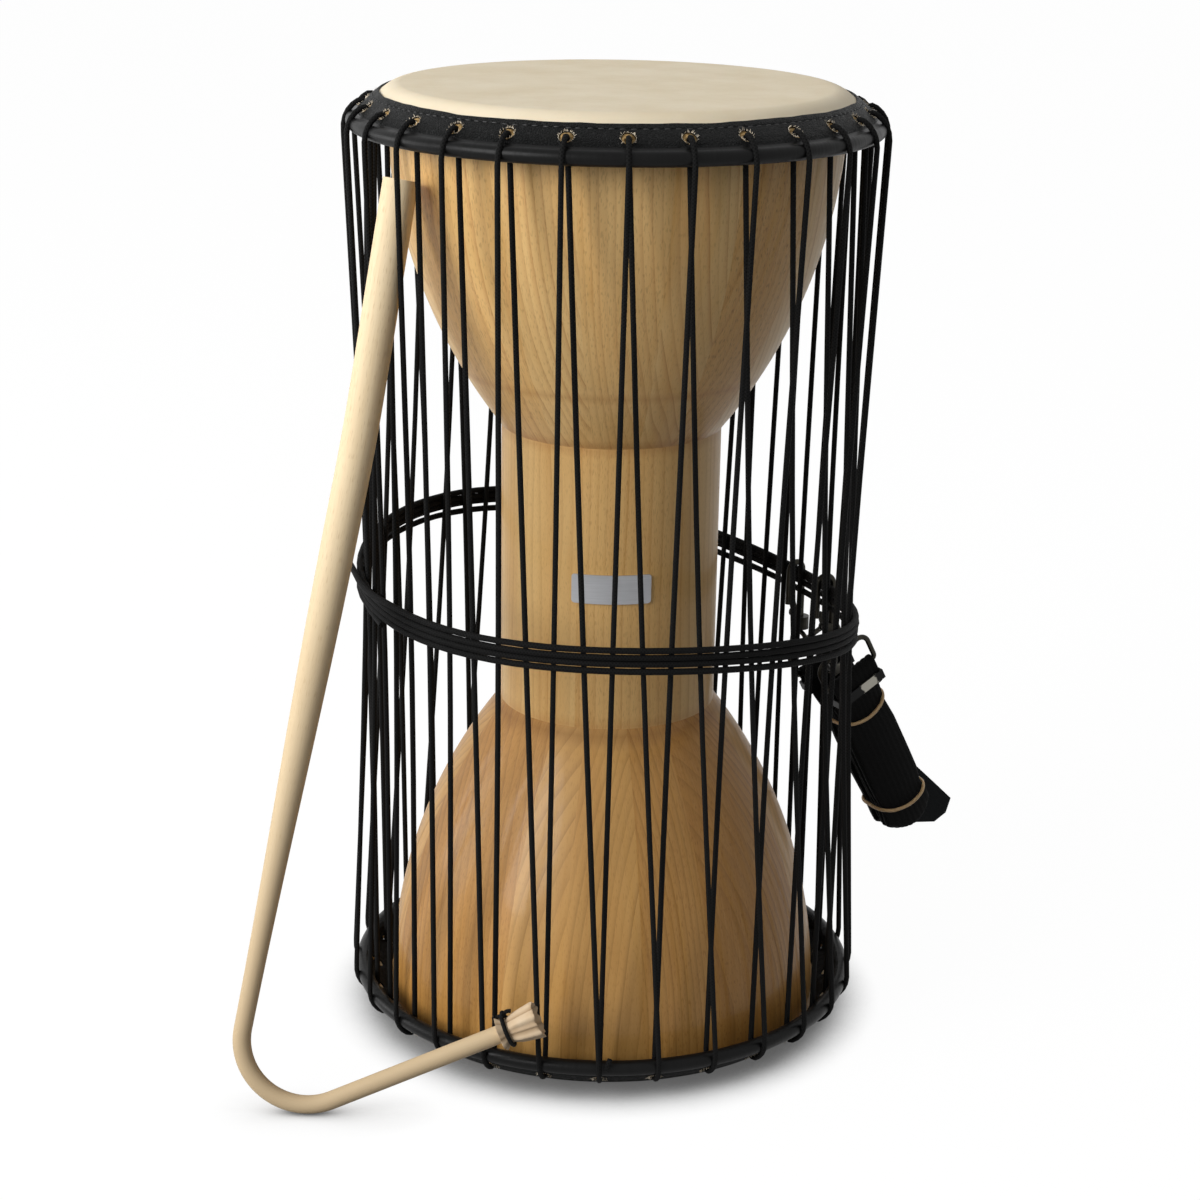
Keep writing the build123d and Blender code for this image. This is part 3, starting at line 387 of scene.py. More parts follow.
stitches = 150
hole_hairs = 26
for end, seed in (("top", 11), ("bottom", 12)):
    chance = random.Random(seed)
    over, under, inside = band_over, 0.0061, 0.0049
    profile = [on_slope(0.0048, under), on_slope(0.0047, over - 0.0003), on_slope(0.0051, over)]
    profile += [on_slope(along, over) for along in (0.0065, 0.0074)]
    # The stitches draw a shallow groove, and the strip dips before it goes round the hoop.
    profile += [on_slope(0.0079, over - 0.00035), on_slope(0.0084, over), on_slope(0.0105, over)]
    profile += [on_slope(0.0135, over), on_slope(0.0160, over - 0.0003), on_slope(0.0176, over - 0.0009)]
    crease_r = profile[-1][0]
    turn = math.pi / 2 - slope + math.radians(42.0)
    for step in range(15):
        lean = turn - step * math.radians(18.5)
        profile.append((hoop_r + roll_r * math.cos(lean), hoop_depth - roll_r * math.sin(lean)))
    # Its other half lies inside, under the skin.
    profile += [on_slope(along, inside - 0.0006) for along in (0.0165, 0.0110, 0.0060)]
    profile += [on_slope(along, inside) for along in (0.0060, 0.0110, 0.0170)]
    profile += [on_slope(0.0176, 0.0055), on_slope(0.0172, under), on_slope(0.0105, under)]
    form = turned([(r, height(end, d)) for r, d in profile], 336, True)
    for face in form.faces:
        face.material_index = int(math.hypot(*face.calc_center_median().xy) > crease_r)
    # The cut edge wanders a little, and the strip puckers slightly between the stitches.
    waves = [
        (k, chance.uniform(0, math.tau), chance.uniform(0.6, 1.0) / k ** 0.5)
        for k in (3, 7, 12, 19, 31, 53)
    ]
    for spot in form.verts:
        radius = math.hypot(spot.co.x, spot.co.y)
        angle = math.atan2(spot.co.x, -spot.co.y)
        loose = min(max((0.1100 - radius) / 0.0045, 0.0), 1.0)
        sway = sum(share * math.sin(k * angle + phase) for k, phase, share in waves)
        shift = 0.00045 * sway * loose
        spot.co.x *= (radius + shift) / radius
        spot.co.y *= (radius + shift) / radius
        spot.co.z -= (1 if end == "top" else -1) * shift * math.tan(slope)
    band = piece(end + "_collar", form, band_leather, 35.0)
    band.data.materials.append(roll_leather)
    punch(band, end, 0.00325)
    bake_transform(band)
    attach(band, "drum")
    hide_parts(end + "_band")
    nodes[end + "_hoop"].material_slots[0].material = hoop_paint

    form = bmesh.new()
    for index in range(stitches):
        angle = 360 / stitches * index + chance.uniform(-0.15, 0.15)
        radius, depth = on_slope(0.0079 + chance.uniform(-0.00015, 0.00015), over - 0.0002)
        way = round_drum(math.sin(slope), angle, math.cos(slope) if end == "top" else -math.cos(slope))
        side = round_drum(1.0, angle + 90 + chance.uniform(-3, 3), 0)
        turn = Matrix((side, way.cross(side).normalized(), way)).transposed().to_4x4()
        place = Matrix.Translation(round_drum(radius, angle, height(end, depth))) @ turn
        size = Matrix.Diagonal((0.0014, 0.00034, 0.00034, 1.0))
        bmesh.ops.create_uvsphere(form, u_segments=6, v_segments=5, radius=1.0, matrix=place @ size)
    stitching = piece(end + "_stitching", form, thread, 80.0)
    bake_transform(stitching)
    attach(stitching, "drum")

    form = bmesh.new()
    hairs = bmesh.new()
    for index in range(hole_count):
        place = hole_frame(end, index, hole_over)
        ring = bmesh.ops.create_circle(form, segments=14, radius=0.0032, matrix=place)["verts"]
        rim_edges = list({edge for spot in ring for edge in spot.link_edges})
        inner = bmesh.ops.extrude_edge_only(form, edges=rim_edges)["geom"]
        centre = place.translation
        way = (place.to_3x3() @ Vector((0, 0, 1))).normalized()
        # The hide closes most of the hole on its inner side, and the cord leaves over the outer side.
        inner_side = 1.0 if end == "top" else -1.0
        upward = (place.to_3x3() @ Vector((0, inner_side, 0))).normalized()
        for spot in [v for v in inner if isinstance(v, bmesh.types.BMVert)]:
            reach = spot.co - centre
            share = 0.5 + 0.5 * reach.normalized().dot(upward)
            spot.co = centre + reach * (0.78 - 0.62 * share + chance.uniform(-0.1, 0.1))
            spot.co += way * chance.uniform(-0.0003, 0.0007) * (0.4 + share)
        for count in range(hole_hairs):
            spin = math.tau * (count + chance.uniform(-0.3, 0.3)) / hole_hairs
            foot = Vector((0.0031 * math.cos(spin), 0.0031 * math.sin(spin), 0.0006))
            out = Matrix.Rotation(spin - math.pi / 2, 4, "Z")
            nod = Matrix.Rotation(chance.uniform(-1.35, 0.5), 4, "X")
            lean = nod @ Matrix.Rotation(chance.uniform(-0.7, 0.7), 4, "Y")
            length = chance.uniform(0.0006, 0.0015)
            bmesh.ops.create_cone(
                hairs, segments=3, radius1=0.00020, radius2=0.00005, depth=length, cap_ends=True,
                matrix=place @ Matrix.Translation(foot) @ out @ lean @ Matrix.Translation((0, 0, length / 2)),
            )
    bmesh.ops.recalc_face_normals(form, faces=form.faces)
    lips = piece(end + "_hole_edges", form, torn_hide, 80.0)
    wall = lips.modifiers.new("thickness", "SOLIDIFY")
    wall.thickness = 0.0004
    settle(lips)
    fibres = piece(end + "_hole_fibres", hairs, fluff, 80.0)
    for trim in (lips, fibres):
        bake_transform(trim)
        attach(trim, "drum")

# Lacing: one black braided cord of polyester, 2.5 mm thick, in zigzags between the bands.
# It comes up inside through a hole, over the hoop, and down outside to the next hole of the other band.
lace_d = 0.0025
strap_turn = 118.63
# The winding's mean height, and how far it leans to the strap, leans sideways, and dips front and back.
wind_mean, strap_pull, side_lean, wind_dip = 0.2075, 0.01025, 0.00775, 0.00675


def wind_height(angle):
    """Height of the winding round the waist, which the strap draws down on its side."""
    turn = math.radians(angle - strap_turn)
    lean = side_lean * math.sin(turn) - strap_pull * math.cos(turn)
    return wind_mean + lean - wind_dip * math.cos(2 * turn)


def corded(name, route, thickness, sides, material, closed=False, detail=4):
    """A round cord on a smooth line led by points, with a UV map in metres round and along it.
    A point may carry a fourth number, its share of the thickness."""
    curve = bpy.data.curves.new(name, "CURVE")
    curve.dimensions = "3D"
    line = curve.splines.new("NURBS")
    line.points.add(len(route) - 1)
    for spot, point in zip(line.points, route):
        spot.co = (*point[:3], 1.0)
        spot.radius = point[3] if len(point) > 3 else 1.0
    line.use_cyclic_u = closed
    line.order_u = 3
    line.use_endpoint_u = not closed
    line.resolution_u = detail
    curve.bevel_depth = thickness / 2
    curve.bevel_resolution = sides // 2 - 2
    curve.use_fill_caps = not closed
    holder = bpy.data.objects.new(name, curve)
    bpy.context.scene.collection.objects.link(holder)
    mesh = shaped(holder)
    bpy.data.objects.remove(holder)
    form = bmesh.new()
    form.from_mesh(mesh)
    bpy.data.meshes.remove(mesh)
    form.verts.ensure_lookup_table()
    rings = len(form.verts) // sides
    middles = [sum((form.verts[ring * sides + side].co for side in range(sides)), Vector()) / sides
               for ring in range(rings)]
    lengths = [0.0]
    for before, after in zip(middles, middles[1:] + middles[:1]):
        lengths.append(lengths[-1] + (after - before).length)
    sheet = form.loops.layers.uv.verify()
    for face in form.faces:
        turns_in = [spot.index % sides for spot in face.verts]
        rings_in = [spot.index // sides for spot in face.verts]
        for loop, turn, ring in zip(face.loops, turns_in, rings_in):
            over_seam = max(turns_in) - min(turns_in) > sides // 2 and turn < sides // 2
            over_end = max(rings_in) - min(rings_in) > 1 and ring == 0
            around = (turn + sides * over_seam) / sides
            loop[sheet].uv = (around * math.pi * thickness, lengths[rings if over_end else ring])
    bmesh.ops.recalc_face_normals(form, faces=form.faces)
    return piece(name, form, material, 60.0)


def braided(name, thickness, dark, light):
    """A round braid: strands that cross in a fine herringbone, dull, with the gaps between them darkened as
    painted shade.
    """
    material, tree, shader = finish(name, {"Roughness": 0.75, "IOR": 1.5, "Specular IOR Level": 0.08})
    spread = add(tree, "SeparateXYZ", {0: add(tree, "TexCoord").outputs["UV"]})
    # Four strands each way round the cord, in a pattern that repeats after 0.62 of its thickness.
    strands = 4
    repeat = 0.62 * thickness
    round_it = add(tree, "Math", {0: spread.outputs[0], 1: 2 * strands / thickness}, operation="MULTIPLY")
    along = add(tree, "Math", {0: spread.outputs[1], 1: math.tau / repeat}, operation="MULTIPLY")
    right = add(tree, "Math", {0: round_it, 1: along}, operation="ADD")
    left = add(tree, "Math", {0: round_it, 1: along}, operation="SUBTRACT")
    one = add(tree, "Math", {0: right}, operation="SINE")
    other = add(tree, "Math", {0: left}, operation="SINE")
    knot = add(tree, "Math", {0: one, 1: other}, operation="MAXIMUM")
    crown_and_shade = add(tree, "MapRange", {0: knot, 1: -0.4, 2: 1.0, 3: 0.0, 4: 1.0})
    # The gaps between the strands are darker as painted shade.
    woven = add(tree, "Mix", {0: crown_and_shade, 6: linear(dark), 7: linear(light)}, data_type="RGBA")
    lay = add(tree, "Bump", {"Height": crown_and_shade, "Strength": 0.55, "Distance": 0.0003})
    wire(shader, {"Base Color": woven, "Normal": lay})
    return material


lacing_braid = braided("braided polyester cord", lace_d, "#050505", "#191919")
inner_r, outer_r, waist_r = 0.1110, 0.12155, 0.11263
lace_over = 0.00865
hole_depth = on_slope((inner_r - rim_r - lace_over * math.sin(slope)) / math.cos(slope), lace_over)[1]
hoop_top = on_slope((outer_r - rim_r - lace_over * math.sin(slope)) / math.cos(slope), lace_over)[1]
pitch = 360 / hole_count
lead = 0.015
first_rise, last_rise = 0.0085, 0.0100
route = [round_drum(inner_r, hole_phase["bottom"], hole_depth + first_rise)]


def taut(start, end):
    """Two points that keep a taut run straight up to its ends."""
    way = (end - start).normalized() * lead
    return [start + way, end - way]


for index in range(hole_count):
    below = hole_phase["bottom"] - index * pitch
    above = hole_phase["top"] - (index + 1) * pitch
    after = below - pitch
    low_hole = round_drum(inner_r, below, hole_depth)
    low_hoop = round_drum(outer_r, below, hoop_top)
    rise = round_drum(waist_r, (below + above) / 2, wind_height((below + above) / 2))
    high_hole = round_drum(inner_r, above, drum_height - hole_depth)
    high_hoop = round_drum(outer_r, above, drum_height - hoop_top)
    fall = round_drum(waist_r, (above + after) / 2, wind_height((above + after) / 2))
    next_hole = round_drum(inner_r, after, hole_depth)
    route += [low_hole, low_hoop, taut(low_hoop, rise)[0], rise, taut(rise, high_hole)[1]]
    route += [high_hole, high_hoop, taut(high_hoop, fall)[0], fall, taut(fall, next_hole)[1]]
route.append(round_drum(inner_r, hole_phase["bottom"], hole_depth + last_rise))
lacing = corded("lacing", route, lace_d, 8, lacing_braid)
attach(lacing, "drum")
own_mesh(lacing)
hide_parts("tension_cord")

# The lacing's last end is a short stub beside its hole on the lower band.
stub_angle = 0.6
stub = [
    round_drum(inner_r, hole_phase["bottom"] + 1.2, hole_depth + 0.0030),
    round_drum(hoop_r - 0.0002, stub_angle - 0.4, hoop_top + 0.0005),
    round_drum(outer_r + 0.0004, stub_angle - 0.8, hoop_top + 0.0045),
    round_drum(outer_r - 0.0006, stub_angle, hoop_top + 0.0090),
]
lacing_end = corded("lacing_end", stub, lace_d, 8, lacing_braid)
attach(lacing_end, "bottom_hoop")

# Waist winding: four turns of braided cord round the lacing, slacker and a little thicker, which draw it in.
# The turns lie close together at the left and spread a little at the right, where the last hangs lower.
wind_r = 0.1161
turns = 4
chance = random.Random(21)
route = []
steps = 24
settled = math.cos(math.pi / steps)
wind_pitch, wind_d = 0.00292, 0.0030
waver_size, stand_off, last_sag = 0.00050, 0.0004, 0.0014
lays = []
for turn in range(turns + 1):
    lays.append([(k, chance.uniform(0, math.tau), chance.uniform(0.3, 1.0) / k) for k in (1, 2, 3)])
for index in range(turns * steps + 1):
    angle = strap_turn - 180 + 360 * index / steps
    turn, part_way = divmod(index / steps, 1.0)
    lay = sum(share * math.sin(k * math.tau * part_way + phase) for k, phase, share in lays[int(turn)])
    # A turn's own waver dies out at its ends, where the next turn takes over.
    waver = waver_size * lay * math.sin(math.pi * part_way) ** 0.5
    drop = (0.5 - index / (turns * steps)) * turns * wind_pitch + waver
    if index > (turns - 1) * steps:
        drop -= last_sag * math.sin(math.pi * part_way)
    out = wind_r / settled + stand_off * abs(lay)
    route.append(round_drum(out, angle, wind_height(angle) + drop))
# Its first end stands out at the left, over the other turns.
tail = [(0.0066, -88.0), (0.0036, -82.0), (0.0030, -74.0), (0.0022, -67.0)]
tail_rise = turns / 2 * wind_pitch - 0.001
first_end = [round_drum(wind_r + out, angle, wind_height(angle) + tail_rise) for out, angle in tail]
winding = corded("waist_winding", first_end + route, wind_d, 8, lacing_braid, detail=3)
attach(winding, "drum")
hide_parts("waist_cord")

# Beater: a rod of pale hardwood, steamed and bent to a crook at its thin end, and left raw.
# Its top end is sawn square. It leans in the lacing with the crook on the floor.
grip_d, crook_d = 0.0154, 0.0082
crook_r = 0.0288
stick_top = Vector((-0.09246, -0.06232, 0.40593))
stick_knee = Vector((-0.10947, -0.07947, 0.30071))
crook_corner = Vector((-0.17249, -0.13093, -0.01497))
stick_end = Vector((-0.04158, -0.12796, 0.04163))
down = (crook_corner - stick_knee).normalized()
arm = (stick_end - crook_corner).normalized()
crook_turn = down.angle(arm)
crook_start = crook_corner - down * crook_r * math.tan(crook_turn / 2)
crook_end = crook_corner + arm * crook_r * math.tan(crook_turn / 2)
axle = down.cross(arm).normalized()
crook_middle = crook_start + crook_r * axle.cross(down)
grip_share = 0.4
crook_steps = 6
step_turn = crook_turn / crook_steps
spoke = crook_r / math.cos(step_turn / 2)
lead_in = crook_r * math.tan(step_turn / 2)


def stick_share(share):
    """Share of the grip's thickness at a share of the long arm: the grip, then a taper down to the crook."""
    taper = max((share - grip_share) / (1 - grip_share), 0.0)
    return 1 + (crook_d / grip_d - 1) * (3 - 2 * taper) * taper ** 2


route = [(*stick_top.lerp(stick_knee, share), 1.0) for share in (0.0, 0.5, 1.0)]
upper = (stick_knee - stick_top).length
lower = (crook_start - stick_knee).length
for share in (0.15, 0.3, 0.45, 0.6, 0.75, 0.88):
    along_arm = (upper + share * lower) / (upper + lower)
    route.append((*stick_knee.lerp(crook_start, share), stick_share(along_arm)))
slim = crook_d / grip_d
route.append((*(crook_start - down * lead_in), slim))
for step in range(crook_steps):
    swing = Matrix.Rotation((step + 0.5) * step_turn, 3, axle)
    route.append((*(crook_middle + swing @ (crook_start - crook_middle).normalized() * spoke), slim))
route += [(*(crook_end + arm * lead_in), slim), (*crook_end.lerp(stick_end, 0.5), slim), (*stick_end, slim)]

raw_wood, tree, shader = finish("raw ash rod", {"Roughness": 0.62, "IOR": 1.45, "Specular IOR Level": 0.3})
place = add(tree, "TexCoord").outputs["Object"]
spread = add(tree, "SeparateXYZ", {0: add(tree, "TexCoord").outputs["UV"]})
# Fibres about 1 mm wide and 60 mm long, and short pores about 0.4 by 5 mm.
strands = add(tree, "CombineXYZ", {0: spread.outputs[0], 1: spread.outputs[1]})
fibre_way = add(tree, "VectorMath", {0: strands, 1: (900.0, 16.0, 1.0)}, operation="MULTIPLY")
fibre = add(tree, "TexNoise", {"Vector": fibre_way, "Scale": 1.0, "Detail": 3.0, "Roughness": 0.6})
pore_way = add(tree, "VectorMath", {0: strands, 1: (2400.0, 200.0, 1.0)}, operation="MULTIPLY")
pore = add(tree, "TexNoise", {"Vector": pore_way, "Scale": 1.0, "Detail": 0.0})
stain = add(tree, "TexNoise", {"Vector": place, "Scale": 18.0, "Detail": 2.0})
pale_side = add(tree, "Mix", {0: fibre, 6: linear("#f5e1be"), 7: linear("#e4ca9f")}, data_type="RGBA")
browner = add(tree, "MapRange", {0: stain, 1: 0.45, 2: 0.75, 3: 0.0, 4: 0.35})
stained = add(tree, "Mix", {0: browner, 6: pale_side, 7: linear("#dabd92")}, data_type="RGBA")
dark_pore = add(tree, "MapRange", {0: pore, 1: 0.64, 2: 0.74, 3: 0.0, 4: 0.3})
pored = add(tree, "Mix", {0: dark_pore, 6: stained, 7: linear("#b9935f")}, data_type="RGBA")
# The crook and the short arm are greyer, painted shade for the light falling off towards the floor.
low = add(tree, "SeparateXYZ", {0: place})
low_shade = add(tree, "MapRange", {0: low.outputs[2], 1: 0.30, 2: 0.05, 3: 0.0, 4: 1.0})
low_shaded = add(tree, "Mix", {0: low_shade, 6: pored, 7: linear("#c7b08d")}, data_type="RGBA")
sawn = add(tree, "Bump", {"Height": fibre, "Strength": 0.12, "Distance": 0.0004})
wire(shader, {"Base Color": low_shaded, "Normal": sawn})
stick = corded("beater_rod", route, grip_d, 20, raw_wood, detail=6)
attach(stick, "beater")
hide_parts("beater_stick")

# Beater tip: a patch of soft cream leather gathered over the rod's end and tied round once with black cord.
# Behind the tie it ruffles out, and in front it flares into a pleated, hollow mouth.
tip_back = 0.0065
tip_start = stick_end - arm * tip_back
tip_up = arm.cross(Vector((0, 1, 0))).normalized()
tip_frame = Matrix.Translation(tip_start) @ Matrix((tip_up, arm.cross(tip_up), arm)).transposed().to_4x4()
tie_place = 0.0039
tip_profile = [
    (0.0, 0.0072), (0.0042, 0.0070), (0.0042, 0.0004), (0.0060, -0.0002), (0.0077, 0.0002),
    (0.0071, 0.0010), (0.0062, 0.0021), (0.0057, 0.0031), (0.0056, 0.0039), (0.0057, 0.0048),
    (0.0061, 0.0062), (0.0066, 0.0084), (0.0071, 0.0110), (0.0076, 0.0140), (0.0080, 0.0165),
    (0.0081, 0.0177), (0.0079, 0.0180), (0.0075, 0.0177), (0.0067, 0.0160), (0.0050, 0.0140),
    (0.0025, 0.0131), (0.0, 0.0130),
]
form = turned(tip_profile, 120, False)
chance = random.Random(31)
pleats = [(k, chance.uniform(0, math.tau), chance.uniform(0.5, 1.0)) for k in (4, 6, 9, 13)]
crease_shade = form.verts.layers.float.new("crease_shade")
for spot in form.verts:
    radius = math.hypot(spot.co.x, spot.co.y)
    if radius < 0.0045:
        continue
    angle = math.atan2(spot.co.y, spot.co.x)
    wave = sum(share * math.sin(k * angle + phase) for k, phase, share in pleats) / 2.2
    crease = abs(math.sin(4.5 * angle + 1.3 * math.sin(2 * angle + 0.6))) ** 0.45 - 0.75
    spot[crease_shade] = crease + 0.25 * wave
    from_tie = min(abs(spot.co.z - tie_place) / 0.004, 1.0)
    shift = from_tie * (0.0006 * wave + 0.0013 * crease) + (1 - from_tie) * 0.0004 * crease
    spot.co.x *= (radius + shift) / radius
    spot.co.y *= (radius + shift) / radius
    spot.co.z += 0.0006 * wave * min(max((spot.co.z - 0.010) / 0.008, 0.0), 1.0)
bmesh.ops.transform(form, matrix=tip_frame, verts=form.verts)
bmesh.ops.recalc_face_normals(form, faces=form.faces)
soft_leather, tree, shader = finish("cream lambskin", {"Roughness": 0.78, "IOR": 1.45, "Sheen Weight": 0.15})
place = add(tree, "TexCoord").outputs["Object"]
nap = add(tree, "TexNoise", {"Vector": place, "Scale": 650.0, "Detail": 4.0, "Roughness": 0.65})
tint = add(tree, "TexNoise", {"Vector": place, "Scale": 160.0, "Detail": 2.0})
lamb = add(tree, "Mix", {0: tint, 6: linear("#e0cbad"), 7: linear("#c0a27c")}, data_type="RGBA")
# The creases are darkened with painted shade, read from the crease depth stored on the tip's mesh.
creased = add(tree, "Attribute", attribute_name="crease_shade")
shaded = add(tree, "MapRange", {0: creased.outputs["Fac"], 1: -0.6, 2: 0.15, 3: 0.75, 4: 0.0})
crease_shaded = add(tree, "Mix", {0: shaded, 6: lamb, 7: linear("#8a6a45")}, data_type="RGBA")
suede = add(tree, "Bump", {"Height": nap, "Strength": 0.35, "Distance": 0.0003})
wire(shader, {"Base Color": crease_shaded, "Normal": suede})
tip = piece("beater_head", form, soft_leather, 70.0)
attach(tip, "beater")
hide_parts("beater_tip")

tie_d = 0.0019
tie_r = 0.0058 + tie_d / 2
tie_out = 1.035 * tie_r
tie_steps = 12
tie_lay = 0.0008
route = [
    (0.0087, -0.0004, -0.0040), (0.0074, -0.0008, -0.0030),
    (0.0080, -0.0006, -0.0014), (0.0076, 0.0004, -0.0004),
]
for step in range(1, tie_steps):
    angle = math.tau * step / tie_steps
    route.append((tie_out * math.cos(angle), tie_out * math.sin(angle), tie_lay * (step / tie_steps - 0.5)))
route += [
    (0.0076, -0.0004, 0.0006), (0.0085, 0.0002, 0.0014),
    (0.0094, 0.0004, 0.0030), (0.0086, 0.0002, 0.0046),
]
tie_frame = tip_frame @ Matrix.Translation((0, 0, tie_place))
tie = corded("beater_binding", [tie_frame @ Vector(point) for point in route], tie_d, 8, lacing_braid)
knot_r, knot_out, knot_steps = 0.0014, 0.0079, 8
route = []
for step in range(knot_steps):
    angle = math.tau * step / knot_steps
    near, aside = knot_r * math.cos(angle), knot_r * math.sin(angle)
    route.append(tie_frame @ Vector((knot_out + near, aside, near / 2)))
knot = corded("beater_knot", route, tie_d, 8, lacing_braid, closed=True)
for cord in (tie, knot):
    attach(cord, "beater")
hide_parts("beater_tie")

# Snap hooks: two hooks of bent steel wire on the winding, each with a sprung gate on a pin and a swivel eye.
# A wire ring joins each eye to the strap. All are plated in dark nickel, worn and slightly brown.
dark_nickel, tree, shader = finish("dark nickel plate", {"Metallic": 1.0})
place = add(tree, "TexCoord").outputs["Object"]
tarnish = add(tree, "TexNoise", {"Vector": place, "Scale": 260.0, "Detail": 4.0})
plated = add(tree, "Mix", {0: tarnish, 6: linear("#3a3832"), 7: linear("#1d1c19")}, data_type="RGBA")
dulled = add(tree, "MapRange", {0: tarnish, 1: 0.3, 2: 0.7, 3: 0.28, 4: 0.5})
wire(shader, {"Base Color": plated, "Roughness": dulled})
for side in "ab":
    for part in ("", "_gate", "_gate_pin", "_swivel", "_ring"):
        nodes["hook_" + side + part].material_slots[0].material = dark_nickel

# Strap keepers: two flat sleeves of steel strip that hold the doubled webbing below the rings.
# They are painted black, and a patch of each front face is bright bare metal, a painted highlight.
hinge = next(joint for joint in frame["joints"] if joint["name"] == "strap_swing")
to_front = Vector(hinge["axis"]).normalized()
strap_lean = 28.0
across = round_drum(math.cos(math.radians(strap_lean)), strap_turn, math.sin(math.radians(strap_lean)))
along_strap = to_front.cross(across)
bar_drop, bar_middle = 0.015, 0.0075
bar = Vector(hinge["pos_m"]) + across * bar_middle - along_strap * bar_drop
# Local X runs through the strap's layers to the front, Y down the strap and Z across it.
hank_frame = Matrix.Translation(bar) @ Matrix((to_front, -along_strap, across)).transposed().to_4x4()
to_local = hank_frame.inverted()
keeper_paint, tree, shader = finish("black steel with painted highlight", {"Roughness": 0.42, "Specular IOR Level": 0.12})
place = add(tree, "TexCoord").outputs["Object"]
local = add(tree, "Mapping", {0: place, 1: to_local.translation, 2: to_local.to_euler()})
spread = add(tree, "SeparateXYZ", {0: local})
patch = 0.005
# The bright patch, with a ragged edge, is a painted highlight.
from_patch = add(tree, "Math", {0: spread.outputs[2], 1: -patch}, operation="ADD")
off_patch = add(tree, "Math", {0: from_patch}, operation="ABSOLUTE")
chips = add(tree, "TexNoise", {"Vector": place, "Scale": 420.0, "Detail": 4.0})
ragged = add(tree, "Math", {0: chips, 1: 0.006, 2: off_patch}, operation="MULTIPLY_ADD")
highlight_patch = add(tree, "MapRange", {0: ragged, 1: 0.0085, 2: 0.0075, 3: 0.0, 4: 1.0})
highlight_painted = add(tree, "Mix", {0: highlight_patch, 6: linear("#0c0c0c"), 7: linear("#8f8c83")}, data_type="RGBA")
wire(shader, {"Base Color": highlight_painted, "Metallic": highlight_patch})
for side in "ab":
    nodes["strap_keeper_" + side].material_slots[0].material = keeper_paint

# Strap: one length of ribbed black nylon webbing, looped on both rings and folded to and fro into a hank.
# Its folds are uneven, and two rubber bands pinch it into a rounded bundle.
web_width, web_thick = 0.027, 0.0016
ring_offset, web_bend = 0.0134, 0.0024
fold_top, fold_end, web_tail = 0.015, 0.104, 0.013
web_runs = 10
bands = (0.024, 0.084)
# How much the hank narrows at its edges, and at a rubber band in depth and in width.
edge_squeeze, pinch_deep, pinch_wide = 0.20, 0.04, 0.07
toe_start, toe_length, toe_round, toe_thin = 0.078, 0.026, 0.0075, 0.16


def swept(name, route, section):
    """A strip on a smooth line in the XY plane, with a closed section of thickness and width points."""
    profile = bpy.data.curves.new(name + "_section", "CURVE")
    edge = profile.splines.new("POLY")
    edge.points.add(len(section) - 1)
    for spot, (thick, wide) in zip(edge.points, section):
        spot.co = (thick, wide, 0.0, 1.0)
    edge.use_cyclic_u = True
    shape = bpy.data.objects.new(name + "_section", profile)
    curve = bpy.data.curves.new(name, "CURVE")
    curve.dimensions = "3D"
    curve.twist_mode = "Z_UP"
    line = curve.splines.new("NURBS")
    line.points.add(len(route) - 1)
    for spot, (x, y) in zip(line.points, route):
        spot.co = (x, y, 0.0, 1.0)
    line.order_u = 3
    line.use_endpoint_u = True
    line.resolution_u = 4
    curve.bevel_mode = "OBJECT"
    curve.bevel_object = shape
    curve.use_fill_caps = True
    holder = bpy.data.objects.new(name, curve)
    for made in (shape, holder):
        bpy.context.scene.collection.objects.link(made)
    mesh = shaped(holder)
    form = bmesh.new()
    form.from_mesh(mesh)
    for made in (shape, holder):
        bpy.data.objects.remove(made)
    bpy.data.meshes.remove(mesh)
    return form


# Nine lengthwise ribs of 3 mm on each face, 0.3 mm deep.
ribs, rib_deep, rib_points = 9, 0.0003, 4
section = []
for face in (1, -1):
    for index in range(ribs * rib_points + 1):
        share = index / (ribs * rib_points)
        ridge = rib_deep * (abs(math.sin(math.pi * ribs * share)) ** 0.6 - 1)
        section.append((face * (web_thick / 2 + ridge), face * (share - 0.5) * web_width))
chance = random.Random(41)
outer = ring_offset + web_bend
first = ring_offset - web_bend
gap = 2 * first / (web_runs - 1)
route = [(outer, web_tail), (outer, 0.004), (outer, -web_bend), (first, -web_bend), (first, 0.006)]
spot = first
for index in range(web_runs - 1):
    if index % 2 == 0:
        turn = fold_end + chance.uniform(-0.0035, 0.0)
        back = -gap
    else:
        turn = fold_top + chance.uniform(0.0, 0.002)
        back = gap
    middle = (fold_top + fold_end) / 2 + chance.uniform(-0.010, 0.010)
    route += [(spot + chance.uniform(-0.0002, 0.0002), middle), (spot, turn + back), (spot, turn)]
    spot -= gap
    route += [(spot, turn), (spot, turn + back)]
route += [(-first, 0.040), (-first, 0.006), (-first, -web_bend)]
route += [(-outer, -web_bend), (-outer, 0.004), (-outer, web_tail)]
form = swept("hank", route, section)
skew = [chance.uniform(-0.0009, 0.0009) for run in range(web_runs)]
for spot in form.verts:
    below = min(max((spot.co.y - 0.008) / 0.012, 0.0), 1.0)
    share = spot.co.z / (web_width / 2)
    run = min(max(round((first - spot.co.x) / gap), 0), web_runs - 1)
    pinch = sum(math.exp(-((spot.co.y - place) / 0.007) ** 2) for place in bands)
    spot.co.x *= 1 - below * (edge_squeeze * share ** 2 + pinch_deep * pinch)
    spot.co.z *= 1 - below * pinch_wide * pinch
    spot.co.z += below * (1 - pinch) * skew[run]
    # The folds' ends round off towards the strap's edges.
    toe = min(max((spot.co.y - toe_start) / toe_length, 0.0), 1.0)
    spot.co.y -= toe_round * share ** 2 * toe
    spot.co.x *= 1 - toe_thin * toe ** 2
bmesh.ops.transform(form, matrix=hank_frame, verts=form.verts)
bmesh.ops.recalc_face_normals(form, faces=form.faces)


